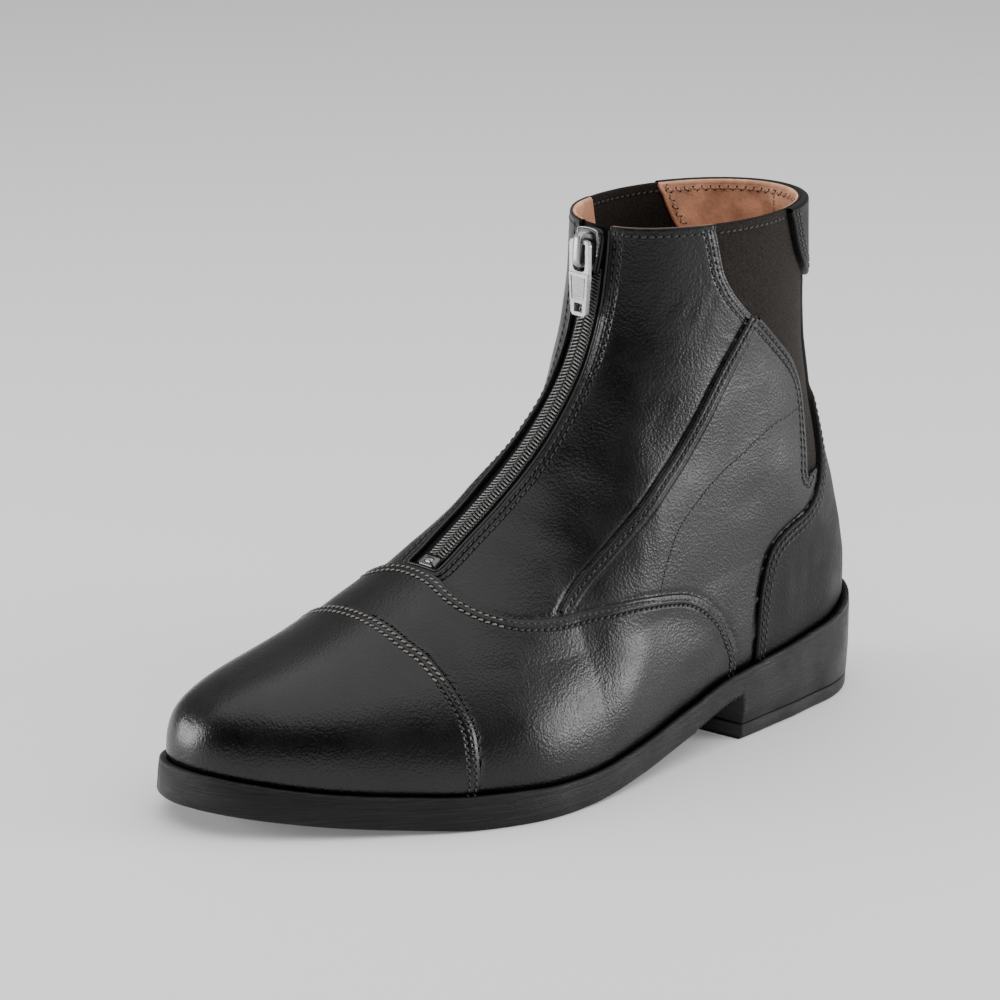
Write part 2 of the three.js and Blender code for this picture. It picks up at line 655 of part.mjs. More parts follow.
const elastic = shell(-ELASTIC_RECESS, -ELASTIC_RECESS - ELASTIC_THICKNESS);
for (const { name, x0, x1 } of sides) {
  const inCutOut = sidePrism(gussetOutline(GAP), x0, x1);
  add("gusset_" + name, elastic.intersect(inCutOut), 0x1c1a18, 0.9);
}

// Overlays lie on the upper and meet each other at the seams.
const overlay = (thickness, outline) =>
  shell(GAP + thickness, GAP).intersect(sidePrism(outline, -FAR, FAR));
const capSeam = seamPoints(CAP_SEAM);
const vampSeam = seamPoints(VAMP_SEAM);
const counterEdge = seamPoints(COUNTER_EDGE);
const diagonal = seamPoints(DIAGONAL_SEAM);
const rearEdge = seamPoints(REAR_QUARTER_EDGE);

const capOutline = [...capSeam, [BEFORE, 0], [BEFORE, HIGH]];
add("toe_cap", overlay(CAP_THICKNESS, capOutline), 0x1a1918, 0.38);
const vampOutline = [...shifted(capSeam, GAP), ...[...vampSeam].reverse()];
add("vamp", overlay(VAMP_THICKNESS, vampOutline), 0x181716, 0.42);

const tabLow = crestHeight(TAB_EDGE.at(-1));
const backOfStrip = stripLine(0, counterTop + STRIP_START, tabLow - GAP);
const counterOutline = [
  ...[...backOfStrip].reverse(),
  ...counterEdge,
  [BEHIND, 0],
  [BEHIND, tabLow - GAP],
];
add("counter", overlay(COUNTER_THICKNESS, counterOutline), 0x171615, 0.42);

const tabOutline = [...seamPoints(TAB_EDGE), [BEHIND, tabLow], [BEHIND, HIGH]];
add("back_tab", overlay(COUNTER_THICKNESS, tabOutline), 0x161514, 0.45);

const diagonalLow = yOf(DIAGONAL_SEAM.at(-1).along);
const vampBehind = shifted(vampSeam, GAP, GAP).filter(([y]) => y > diagonalLow);
const counterBefore = shifted(counterEdge, -GAP).filter(([y, z]) => z < rearEdge.at(-1)[1]);
const rearOutline = [
  ...diagonal,
  ...vampBehind,
  ...[...counterBefore].reverse(),
  ...[...shifted(rearEdge, -GAP, -GAP)].reverse(),
];
const rearQuarters = overlay(QUARTER_THICKNESS, rearOutline);
for (const { name, x0, x1 } of sides) {
  const half = sidePrism([[BEHIND, 0], [BEHIND, HIGH], [BEFORE, HIGH], [BEFORE, 0]], x0, x1);
  add("rear_quarter_" + name, rearQuarters.intersect(half), 0x1b1a19, 0.42);
}

// Sole. Each ring is the plan drawn in by an inset at a height over a named line.
const soleTurns = Array.from({ length: 2 * SOLE_AROUND }, (_, j) => j / (2 * SOLE_AROUND));
const flare = (turn) => TOE_FLARE * smooth(0.25, 0, Math.min(turn, 1 - turn));
const soleRing = (inset, height, flared = 0) =>
  soleTurns.map((turn) => {
    const [x, y] = planPoint(turn, inset - flared * flare(turn));
    return new THREE.Vector3(x, y, height(THREE.MathUtils.clamp(alongOf(y), 0, 1)));
  });
const soleSolid = ringSolid([
  soleRing(EDGE_ROUND, underside, 1),
  soleRing(0, (s) => underside(s) + EDGE_ROUND, 1),
  soleRing(0, (s) => rim(s) - LIP_BAND, FLARE_LEFT),
  soleRing(SIDE_STEP, (s) => rim(s) - LIP_BAND + SIDE_STEP / 2),
  soleRing(SIDE_STEP, (s) => rim(s) - SIDE_STEP),
  soleRing(2 * SIDE_STEP, rim),
  soleRing(LIP_WIDTH - SIDE_STEP / 4, rim),
  soleRing(LIP_WIDTH, seat),
]);

// Line of the heel's breast, turned so that its inner end lies further forward.
const breastY = yOf(BREAST_AT);
const breastSlope = Math.tan(THREE.MathUtils.degToRad(BREAST_TURN));
const breastEdge = planHalf(BREAST_AT) + middle(BREAST_AT);
const behindBreast = (x, y) => y - (breastY + (x - breastEdge) * breastSlope);
function breastTurn(low, high) {
  for (let i = 0; i < BREAST_HALVINGS; i++) {
    const half = (low + high) / 2;
    if (behindBreast(...planPoint(half, 0)) < 0) low = half;
    else high = half;
  }
  return (low + high) / 2;
}
const outerTurn = breastTurn(0.1, 0.5);
const innerTurn = breastTurn(0.9, 0.5);
const heelRing = (inset, height) =>
  Array.from({ length: HEEL_AROUND }, (_, i) => {
    const [x, y] = planPoint(mix(outerTurn, innerTurn, i / (HEEL_AROUND - 1)), inset);
    return new THREE.Vector3(x, y, height(THREE.MathUtils.clamp(alongOf(y), 0, 1)));
  });
add(
  "heel_block",
  ringSolid(
    [
      heelRing(HEEL_LOW_INSET, () => LIFT_HEIGHT + GAP),
      heelRing(HEEL_TOP_INSET, (s) => underside(s) - GAP),
    ],
    false,
  ),
  0x161616,
  0.55,
);
add(
  "heel_lift",
  ringSolid(
    [
      heelRing(FLOOR_INSET, () => 0),
      heelRing(HEEL_LOW_INSET + EDGE_ROUND, () => LIFT_ROUND / 2),
      heelRing(HEEL_LOW_INSET, () => LIFT_ROUND),
      heelRing(HEEL_LOW_INSET, () => LIFT_HEIGHT),
    ],
    false,
  ),
  0x131313,
  0.6,
);

// Saw-tooth ribs across the waist's underside, from the breast forward.
const ribPoints = Array.from({ length: RIB_COUNT }, (_, i) => i).flatMap((i) => {
  const y = breastY - GAP - i * RIB_PITCH;
  const low = underside(alongOf(y - RIB_PITCH));
  return [
    [y, underside(alongOf(y)) + RIB_DEPTH],
    [y - RIB_PITCH, low - RIB_DEPTH / 4],
  ];
});
const ribCut = sidePrism(
  [[breastY - GAP, -HEEL_HEIGHT], ...ribPoints, [ribPoints.at(-1)[0], -HEEL_HEIGHT]],
  -FAR,
  FAR,
);
const turnedRibs = ribCut
  .translate([-breastEdge, -breastY, 0])
  .rotate([0, 0, BREAST_TURN])
  .translate([breastEdge, breastY, 0]);
add("outsole", soleSolid.subtract(turnedRibs), 0x151515, 0.55);

// Insole on the seat, inside the upper's wall.
const insoleInset = SOLE_EDGE + WALL + INSOLE_MARGIN;
add(
  "insole",
  ringSolid([
    soleRing(insoleInset, (s) => seat(s) + GAP),
    soleRing(insoleInset, (s) => seat(s) + GAP + INSOLE_THICKNESS),
  ]),
  0xa5805f,
  0.7,
);

// Zip: tape in the slot, chain on the tape, slider at the top of the chain.
const tapeBand = crestBand(slotStart + GAP, beyondCollar, SLOT_WIDTH - 2 * GAP, -BAND, BAND);
const tapeShell = shell(-TAPE_DEPTH, -TAPE_DEPTH - TAPE_THICKNESS);
add("zip_tape", tapeShell.intersect(tapeBand), 0x101010, 0.9);

const sliderTopRun = onCrest("z", COLLAR_HEIGHT - SLIDER_TOP, "run");
const sliderLowRun = sliderTopRun - SLIDER_LENGTH;
const chainStart = slotStart + CHAIN_STOP;
const chainBand = crestBand(chainStart, sliderLowRun - GAP, CHAIN_WIDTH, -BAND, BAND);
const chainLow = GAP - TAPE_DEPTH;
const chainShell = shell(chainLow + CHAIN_THICKNESS, chainLow);
add("zip_teeth", chainShell.intersect(chainBand), 0x2a2a2a, 0.45, 0.4);

// The slider's own frame: origin at its top on the crest, across, out of the boot, down.
const sliderTop = ["x", "y", "z"].map((column) => onCrest("run", sliderTopRun, column));
const sliderLow = ["x", "y", "z"].map((column) => onCrest("run", sliderLowRun, column));
const down = new THREE.Vector3(0, sliderLow[1] - sliderTop[1], sliderLow[2] - sliderTop[2]);
down.normalize();
const across = new THREE.Vector3(1, 0, 0);
const out = new THREE.Vector3().crossVectors(across, down).negate();
const sliderFrame = new THREE.Matrix4()
  .makeBasis(across, down, out)
  .setPosition(sliderTop[0], sliderTop[1], sliderTop[2]);
const shieldSide = SHIELD.map((row) => [(row.wide * SLIDER_WIDTH) / 2, row.down * SLIDER_LENGTH]);
const mirrored = (points) => [...points].reverse().map(([x, y]) => [-x, y]);
const shapeOf = (points) => new THREE.Shape(points.map(([x, y]) => new THREE.Vector2(x, y)));
const pathOf = (points) => new THREE.Path(points.map(([x, y]) => new THREE.Vector2(x, y)));
const extruded = (shape, depth) => new THREE.ExtrudeGeometry(shape, { depth, bevelEnabled: false });
const sliderBody = extruded(shapeOf([...shieldSide, ...mirrored(shieldSide)]), SLIDER_THICKNESS);
sliderBody.translate(0, 0, chainLow).applyMatrix4(sliderFrame);

// Crown: an arch in the slider's middle plane, with the pull's bar under it.
const bodyFace = chainLow + SLIDER_THICKNESS;
const crownArch = (inset) =>
  CROWN_ARCH.map((row) => [
    mix(inset, CROWN_LENGTH - inset, row.down),
    bodyFace + row.stand * CROWN_HEIGHT - inset,
  ]);
const crownOuter = crownArch(0);
const crownShape = shapeOf([
  [0, bodyFace - CROWN_ROOT],
  ...crownOuter,
  [CROWN_LENGTH, bodyFace - CROWN_ROOT],
]);
const crownInner = crownArch(CROWN_BAR);
const crownWindow = [
  [CROWN_LENGTH - CROWN_BAR, bodyFace],
  ...[...crownInner].reverse(),
  [CROWN_BAR, bodyFace],
];
crownShape.holes.push(pathOf(crownWindow));
const slide = new THREE.Vector3(0, 1, 0);
const stand = new THREE.Vector3(0, 0, 1);
const crownTurn = new THREE.Matrix4().makeBasis(slide, stand, across);
const crownGeometry = extruded(crownShape, CROWN_WIDTH).applyMatrix4(crownTurn);
crownGeometry.translate(-CROWN_WIDTH / 2, CROWN_START, 0).applyMatrix4(sliderFrame);
add("zip_slider", solidOf(sliderBody).add(solidOf(crownGeometry)), 0x77777a, 0.35, 0.8);

// Pull: a plate with a window round the crown, hanging straight down from its top bar.
const pivot = new THREE.Vector3(0, PIVOT_DROP, bodyFace + PIVOT_STAND).applyMatrix4(sliderFrame);
const pullHalf = PULL_WIDTH / 2;
const tipHalf = PULL_TIP_WIDTH / 2;
const barHalf = PULL_BAR / 2;
const tipAt = barHalf - PULL_LENGTH;
const plateSide = [
  [tipHalf - PULL_TIP_CORNER, tipAt],
  [tipHalf, tipAt + PULL_TIP_CORNER],
  [pullHalf, -PULL_WINDOW - PULL_CORNER],
  [pullHalf, barHalf - PULL_CORNER],
  [pullHalf - PULL_CORNER, barHalf],
];
const plate = shapeOf([...plateSide, ...mirrored(plateSide)]);
const windowHalf = CROWN_WIDTH / 2 + WINDOW_PLAY;
const windowSide = [
  [windowHalf, -barHalf],
  [windowHalf, WINDOW_CORNER - PULL_WINDOW],
  [windowHalf - WINDOW_CORNER, -PULL_WINDOW],
];
plate.holes.push(pathOf([...windowSide, ...mirrored(windowSide)]));
const holeLow = tipAt + HOLE_MARGIN;
const holeSide = [
  [PULL_HOLE / 2, holeLow + PULL_HOLE],
  [PULL_HOLE / 2, holeLow],
];
plate.holes.push(pathOf([...holeSide, ...mirrored(holeSide)]));
const pullGeometry = extruded(plate, PULL_THICKNESS).translate(0, 0, -PULL_THICKNESS / 2);
pullGeometry.rotateX(Math.PI / 2).translate(pivot.x, pivot.y, pivot.z);
add("zip_pull", solidOf(pullGeometry), 0x9a9a9c, 0.3, 0.85);

// The part's origin is under the middle of its box, on the ground.
const box = new THREE.Box3().setFromObject(group);
group.position.set(-(box.min.x + box.max.x) / 2, -(box.min.y + box.max.y) / 2, -box.min.z);

export default group;
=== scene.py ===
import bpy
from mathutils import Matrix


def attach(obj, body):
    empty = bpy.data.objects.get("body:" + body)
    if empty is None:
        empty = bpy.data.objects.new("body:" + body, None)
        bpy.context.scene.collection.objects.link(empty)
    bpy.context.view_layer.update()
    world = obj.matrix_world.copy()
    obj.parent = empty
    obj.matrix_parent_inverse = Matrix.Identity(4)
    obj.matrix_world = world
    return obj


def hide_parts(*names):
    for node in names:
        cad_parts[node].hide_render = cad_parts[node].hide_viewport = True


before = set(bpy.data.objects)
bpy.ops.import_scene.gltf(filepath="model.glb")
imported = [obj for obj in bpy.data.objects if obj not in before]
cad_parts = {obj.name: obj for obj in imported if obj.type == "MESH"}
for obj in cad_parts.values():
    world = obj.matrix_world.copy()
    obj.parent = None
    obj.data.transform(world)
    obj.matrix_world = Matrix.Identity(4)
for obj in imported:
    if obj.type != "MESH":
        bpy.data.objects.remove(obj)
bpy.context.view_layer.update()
# Look of the paddock boot. Sizes are in millimetres in the boot's own frame, moved and scaled
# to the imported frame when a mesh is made.
import math
import bpy
import numpy as np
from mathutils import Matrix, Vector, kdtree

SHIFT = np.array([9.938, 0.75, 0.0])

# Sizes of the solids, as in the part's source.
LENGTH, BALL, HEEL = 284.0, 107.5, 66.0
HEEL_HEIGHT, TOE_SPRING, SOLE_THICK, LIFT = 16.0, 9.0, 11.0, 5.5
BREAST_AT, BREAST_TURN = 0.298, math.radians(8)
SOLE_EDGE, LIP_HEIGHT, TOE_FLARE, INSOLE_THICK = 4.6, 2.0, 1.5, 2.5
INSTEP, COLLAR, SHAFT_WIDTH, SHAFT_LEAN = 80.0, 188.0, 67.5, -2.0
WALL, ARCH_DEPTH, FULLNESS = 2.0, 92.0, 0.03
BACKSTAY, GAP = 3.6, 0.3
SLOT_HALF, SLOT_START = 7.5, 0.673
HEEL_ROUND, TOE_ROUND = 0.14, 0.32
RIB_PITCH, RIB_DEPTH, RIB_COUNT = 2.4, 1.1, 11

PLAN = np.array([  # along, bend, heel, ball
    (0.0, 0.0, 1.0, 0.0), (0.12, 0.0, 1.0, 0.0), (0.2, 0.011, 1.05, 0.0), (0.3, 0.046, 0.85, 0.1),
    (0.4, 0.058, 0.6, 0.27), (0.5, 0.035, 0.3, 0.575), (0.6, -0.026, 0.0, 0.935),
    (0.68, -0.077, 0.0, 1.0), (0.76, -0.142, 0.0, 0.985), (0.84, -0.214, 0.0, 0.933),
    (0.92, -0.277, 0.0, 0.915), (1.0, -0.325, 0.0, 0.93)])
SIDE = np.array([  # along, heel, toe, thick
    (0.0, 1.62, 0.0, 1.05), (0.12, 1.28, 0.0, 0.91), (0.26, 1.06, 0.0, 0.86),
    (0.31, 0.98, 0.0, 0.84), (0.4, 0.56, 0.0, 0.92), (0.5, 0.21, 0.0, 0.94),
    (0.6, 0.02, 0.0, 0.97), (0.64, 0.0, 0.0, 1.0), (0.74, 0.0, 0.0, 1.09),
    (0.8, 0.0, 0.14, 1.05), (0.88, 0.0, 0.4, 1.04), (1.0, 0.0, 1.0, 1.14)])
CREST = np.array([  # along, foot, shaft, across, box
    (1.0, 0.26, 0.0, -0.325, 2.6), (0.998, 0.345, 0.0, -0.323, 2.6), (0.99, 0.425, 0.0, -0.32, 2.6),
    (0.972, 0.497, 0.0, -0.312, 2.55), (0.94, 0.558, 0.0, -0.288, 2.5), (0.9, 0.608, 0.0, -0.262, 2.45),
    (0.85, 0.666, 0.0, -0.23, 2.35), (0.8, 0.735, 0.0, -0.198, 2.25), (0.74, 0.84, 0.0, -0.164, 2.15),
    (0.674, 0.965, 0.0, -0.135, 2.05), (0.631, 1.0, 0.055, -0.12, 1.98),
    (0.586, 1.0, 0.148, -0.1, 1.95), (0.546, 1.0, 0.242, -0.08, 1.95),
    (0.512, 1.0, 0.348, -0.055, 1.95), (0.483, 1.0, 0.452, -0.042, 1.97),
    (0.461, 1.0, 0.55, -0.034, 2.1), (0.446, 1.0, 0.66, -0.026, 2.1), (0.436, 1.0, 0.79, -0.018, 2.1),
    (0.43, 1.0, 0.96, -0.014, 2.1), (0.428, 1.0, 1.08, -0.014, 2.1)])
SHAFT = np.array([  # up, back, wide, front, rear
    (0.1, 0.012, 0.92, 0.3, 0.14), (0.19, 0.006, 0.95, 0.3, 0.14), (0.26, 0.008, 0.98, 0.3, 0.14),
    (0.33, 0.018, 1.01, 0.3, 0.145), (0.42, 0.037, 1.03, 0.28, 0.15), (0.505, 0.056, 1.02, 0.25, 0.155),
    (0.59, 0.07, 1.0, 0.22, 0.16), (0.66, 0.077, 0.99, 0.19, 0.165), (0.73, 0.083, 0.98, 0.175, 0.168),
    (0.87, 0.086, 0.99, 0.17, 0.17), (1.0, 0.088, 1.0, 0.17, 0.17), (1.06, 0.088, 1.0, 0.17, 0.17)])
# Seams in side view: along, foot, shaft
CAP = [(0.757, 1.3, 0), (0.756, 0.79, 0), (0.747, 0.69, 0), (0.74, 0.55, 0), (0.736, 0.42, 0),
       (0.738, 0.3, 0), (0.741, 0, 0)]
VAMP = [(0.674, 1.3, 0), (0.677, 0.96, 0), (0.68, 0.89, 0), (0.672, 0.845, 0), (0.655, 0.812, 0),
        (0.63, 0.786, 0), (0.577, 0.774, 0), (0.526, 0.79, 0), (0.473, 0.797, 0), (0.41, 0.768, 0),
        (0.376, 0.728, 0), (0.348, 0.66, 0), (0.323, 0.56, 0), (0.305, 0.44, 0), (0.3, 0.34, 0),
        (0.3, 0, 0)]
DIAGONAL = [(0.273, 1, 0.68), (0.32, 1, 0.53), (0.388, 1, 0.305), (0.436, 1, 0.19),
            (0.497, 1, 0.04), (0.541, 0.91, 0), (0.577, 0.8, 0)]
FRONT_EDGE = [(0.33, 1, 1.1), (0.329, 1, 1.0), (0.325, 1, 0.95), (0.32, 1, 0.89), (0.314, 1, 0.83),
              (0.298, 1, 0.76), (0.273, 1, 0.69)]
REAR_EDGE = [(0.255, 1, 0.665), (0.222, 1, 0.585), (0.186, 1, 0.492), (0.165, 1, 0.4),
             (0.158, 1, 0.3), (0.159, 1, 0.2), (0.163, 1, 0.09)]
COUNTER = [(0.106, 1, 0.3), (0.118, 1, 0.14), (0.139, 1, 0.035), (0.166, 0.962, 0), (0.209, 0.9, 0),
           (0.238, 0.82, 0), (0.252, 0.7, 0), (0.26, 0.56, 0), (0.263, 0.35, 0), (0.264, 0, 0)]
TAB = [(0.206, 1, 1.1), (0.203, 1, 1.0), (0.195, 1, 0.96), (0.189, 1, 0.92), (0.176, 1, 0.85),
       (0.155, 1, 0.785), (0.125, 1, 0.73), (0.095, 1, 0.7), (0.05, 1, 0.69)]
# Closed seam on the rear quarter: along, height
CLOSED = [(0.167, 115), (0.239, 111.5), (0.292, 104.4), (0.334, 99.2), (0.38, 90.8), (0.407, 84.2),
          (0.425, 74.9), (0.437, 67.4), (0.441, 64.4)]


def clamp(v, a=0.0, b=1.0):
    return np.minimum(np.maximum(v, a), b)


def mix(a, b, f):
    return a + (b - a) * f


def smooth(a, b, v):
    f = clamp((v - a) / (b - a))
    return f * f * (3 - 2 * f)


def rounded(r, power=2.0):
    return (1 - (1 - clamp(r)) ** power) ** (1 / power)


def reader(xs, ys):
    """Monotone cubic reading of one column, as in the part's source."""
    xs, ys = np.array(xs, float), np.array(ys, float)
    h = np.diff(xs)
    s = np.diff(ys) / h
    m = np.empty_like(xs)
    m[0], m[-1] = s[0], s[-1]
    a, b, ha, hb = s[:-1], s[1:], h[:-1], h[1:]
    with np.errstate(divide="ignore", invalid="ignore"):
        m[1:-1] = np.where(a * b > 0, 3 * (ha + hb) / ((2 * hb + ha) / a + (hb + 2 * ha) / b), 0)

    def at(x):
        x = np.asarray(x, float)
        i = np.clip(np.searchsorted(xs, x) - 1, 0, len(xs) - 2)
        f = clamp((x - xs[i]) / h[i])
        return ((2 * f**3 - 3 * f**2 + 1) * ys[i] + (f**3 - 2 * f**2 + f) * m[i] * h[i]
                + (3 * f**2 - 2 * f**3) * ys[i + 1] + (f**3 - f**2) * m[i + 1] * h[i])
    return at


HALF = LENGTH / 2
plan_bend, plan_heel, plan_ball = (reader(PLAN[:, 0], PLAN[:, k]) for k in (1, 2, 3))
side_heel, side_toe, side_thick = (reader(SIDE[:, 0], SIDE[:, k]) for k in (1, 2, 3))
shaft_back, shaft_wide, shaft_front, shaft_rear = (reader(SHAFT[:, 0], SHAFT[:, k]) for k in (1, 2, 3, 4))


def along_of(y):
    return (HALF - y) / LENGTH


def y_of(along):
    return HALF - along * LENGTH


def underside(s):
    return side_heel(s) * HEEL_HEIGHT + side_toe(s) * TOE_SPRING


def rim(s):
    return underside(s) + side_thick(s) * SOLE_THICK


def seat(s):
    return rim(s) - LIP_HEIGHT


def middle(s):
    return plan_bend(s) * BALL


def plain_half(s):
    return (plan_heel(s) * HEEL + plan_ball(s) * BALL) / 2


def plan_half(s):
    return plain_half(s) * rounded(s / HEEL_ROUND) * rounded((1 - s) / TOE_ROUND)


def plan_point(turn, inset):
    share = (1 + np.cos(2 * np.pi * turn)) / 2
    side = np.where(turn <= 0.5, 1.0, -1.0)
    half = np.maximum(plan_half(share) * (1 - inset / plain_half(share)), 0)
    return middle(share) + side * half, mix(HALF - inset, inset - HALF, share)


BACK, FRONT = HALF - SOLE_EDGE, SOLE_EDGE - HALF
LEG = COLLAR - INSTEP
crest_y = mix(BACK, FRONT, CREST[:, 0])
crest_z = CREST[:, 1] * INSTEP + CREST[:, 2] * LEG
crest_run = np.concatenate([[0], np.cumsum(np.hypot(np.diff(crest_y), np.diff(crest_z)))])
run600 = np.linspace(0, crest_run[-1], 601)
crest = {"run": run600, "y": reader(crest_run, crest_y)(run600), "z": reader(crest_run, crest_z)(run600),
         "x": reader(crest_run, CREST[:, 3] * BALL)(run600), "box": reader(crest_run, CREST[:, 4])(run600)}


def on_crest(by, value, column):
    return np.interp(value, crest[by], crest[column])


def back_line(z):
    return HALF - shaft_back(z / COLLAR) * LENGTH - SOLE_EDGE / 2


def section(y, z, climb):
    share = clamp((BACK - y) / (BACK - FRONT))
    foot = np.maximum(z - seat(share), 0)
    top = on_crest("y", y, "z")
    depth = np.minimum(top - seat(share), ARCH_DEPTH)
    q = clamp(1 - (top - z) / np.maximum(depth, 0.01))
    box = on_crest("y", y, "box")
    up_arch = (1 - q**box) ** (1 / box)
    front_arch = rounded((y - on_crest("z", z, "y")) / (shaft_front(z / COLLAR) * LENGTH),
                         on_crest("z", z, "box"))
    arch = mix(up_arch, front_arch, climb)
    toe = rounded((1 - share) / TOE_ROUND)
    heel = rounded((back_line(z) - y) / (shaft_rear(z / COLLAR) * LENGTH))
    in_leg = smooth(8, 75, foot) * smooth(0.66, 0.4, share)
    low = plain_half(share) - SOLE_EDGE
    high = shaft_wide(z / COLLAR) * SHAFT_WIDTH / 2
    bulge = 1 + FULLNESS * np.sin(np.pi * clamp(foot / 40))
    half = mix(low, high, in_leg) * arch * mix(toe, 1, climb) * heel * bulge
    lean = smooth(0, 1, q) * (1 - smooth(0.55, 0.35, share))
    fore = mix(middle(share), on_crest("y", y, "x"), lean)
    return mix(fore, SHAFT_LEAN * z / COLLAR, in_leg * (1 - lean)), half


FEATHER_BACK, FEATHER_FRONT = float(seat(0)) + GAP, float(seat(1)) + GAP
CREST_END = float(on_crest("z", COLLAR, "run"))


def form_points(level, share, side):
    rise = clamp(level)
    run = CREST_END * (0.9 * rise + 0.1 * rise**2)
    back_z = mix(FEATHER_BACK, COLLAR, rise)
    y = mix(back_line(back_z), on_crest("run", run, "y"), share)
    along = clamp((BACK - y) / (BACK - FRONT))
    dip = seat(along) + GAP - mix(FEATHER_BACK, FEATHER_FRONT, along)
    held = share**8 * smooth(0, 0.12, rise)
    z = mix(back_z, on_crest("run", run, "z"), share) + dip * (1 - rise) ** 2 * (1 - held)
    centre, half = section(y, z, smooth(0.42, 0.72, rise))
    return np.stack([centre + side * half, y, np.where(level < 0, z - 3.0, z)], -1)


# The upper's outer face as one fine grid of triangles with columns of facts on each point.
AROUND, LEVELS = 270, 235
u = np.linspace(0, 1, AROUND + 1)
theta = np.pi * u + 0.15 * np.sin(2 * np.pi * u)
share_half = (1 + np.cos(theta)) / 2
shares = np.concatenate([share_half, share_half[-2:0:-1]])
sides = np.concatenate([[0], np.ones(AROUND - 1), [0], -np.ones(AROUND - 1)])
levels = np.concatenate([[-1], np.linspace(0, 1, LEVELS)])
grid = form_points(levels[:, None], shares[None, :], sides[None, :])
# A slight ridge beside the shaft's front is eased
eased = grid.copy()
for _ in range(70):
    eased = (np.roll(eased, 1, 1) + 2 * eased + np.roll(eased, -1, 1)) / 4
there = smooth(4, 14, grid[..., 1]) * smooth(44, 30, grid[..., 1]) * smooth(90, 106, grid[..., 2])
grid += there[..., None] * (eased - grid)
up = np.empty_like(grid)
up[1:-1] = grid[2:] - grid[:-2]
up[0], up[-1] = grid[1] - grid[0], grid[-1] - grid[-2]
around = np.roll(grid, -1, 1) - np.roll(grid, 1, 1)
normal = np.cross(around, up)
normal /= np.linalg.norm(normal, axis=-1, keepdims=True)
rows, cols = grid.shape[:2]
P = grid.reshape(-1, 3)
N = normal.reshape(-1, 3)


def grid_triangles(rows, cols):
    ii, jj = np.meshgrid(np.arange(rows - 1), np.arange(cols), indexing="ij")
    kk = (jj + 1) % cols
    a, b, c, d = ii * cols + jj, ii * cols + kk, (ii + 1) * cols + kk, (ii + 1) * cols + jj
    return np.concatenate([np.stack([a, b, c], -1).reshape(-1, 3), np.stack([a, c, d], -1).reshape(-1, 3)])


TRIS = grid_triangles(rows, cols)


# Side-view outlines and fields
def seam_points(rows_, count=90):
    """Smooth curve through a seam's rows, as even steps in side view."""
    if len(rows_[0]) == 3:
        pts = np.array([(y_of(r[0]), r[1] * INSTEP + r[2] * LEG) for r in rows_])
    else:
        pts = np.array([(y_of(r[0]), r[1]) for r in rows_])
    ext = np.vstack([pts[0], pts, pts[-1]])
    out = []
    for i in range(len(pts) - 1):
        p0, p1, p2, p3 = ext[i:i + 4]
        t = np.linspace(0, 1, 24, endpoint=False)[:, None]
        v0, v1 = (p2 - p0) / 2, (p3 - p1) / 2
        out.append((2 * p1 - 2 * p2 + v0 + v1) * t**3 + (-3 * p1 + 3 * p2 - 2 * v0 - v1) * t**2 + v0 * t + p1)
    return resample(np.vstack(out + [pts[-1:]]), count=count)


def resample(line, step=None, count=None):
    """Even steps along a polyline. All columns are carried along; the first ones are the place."""
    k = 3 if line.shape[1] >= 3 else 2
    run = np.concatenate([[0], np.cumsum(np.linalg.norm(np.diff(line[:, :k], axis=0), axis=1))])
    n = count if count else max(int(round(run[-1] / step)) + 1, 2)
    at = np.linspace(0, run[-1], n)
    return np.stack([np.interp(at, run, line[:, j]) for j in range(line.shape[1])], 1)


def line_distance(points, line, closed=False):
    """Distance in the plane from each point to a polyline, and the share of its length there."""
    ends = np.roll(line, -1, 0) if closed else line[1:]
    starts = line if closed else line[:-1]
    best = np.full(len(points), 1e9)
    where = np.zeros(len(points))
    for i, (p, q) in enumerate(zip(starts, ends)):
        e = q - p
        f = clamp(((points - p) @ e) / max(e @ e, 1e-12))
        dist = np.hypot(*(points - p - f[:, None] * e).T)
        near = dist < best
        best[near] = dist[near]
        where[near] = (i + f[near]) / len(starts)
    return best, where


def inside(points, poly):
    x, y = points[:, 0], points[:, 1]
    result = np.zeros(len(points), bool)
    for (x0, y0), (x1, y1) in zip(poly, np.roll(poly, -1, 0)):
        if y0 == y1:
            continue
        cross = ((y0 > y) != (y1 > y)) & (x < (x1 - x0) * (y - y0) / (y1 - y0) + x0)
        result ^= cross
    return result


def region(points, poly):
    """Signed distance in side view, positive inside the outline."""
    poly = np.array(poly)
    dist, _ = line_distance(points, poly, closed=True)
    return np.where(inside(points, poly), dist, -dist)


YZ = P[:, 1:]
BEHIND, BEFORE, HIGH = HALF + 10, -HALF - 10, COLLAR + 20
cap_l, vamp_l, diag_l = seam_points(CAP), seam_points(VAMP, 160), seam_points(DIAGONAL)
front_l, rear_l, counter_l = seam_points(FRONT_EDGE), seam_points(REAR_EDGE), seam_points(COUNTER, 120)
tab_l, closed_l = seam_points(TAB), seam_points(CLOSED)


def strip_line(z0, z1):
    z = np.linspace(z0, z1, 24)
    return np.stack([back_line(z) - BACKSTAY, z], 1)


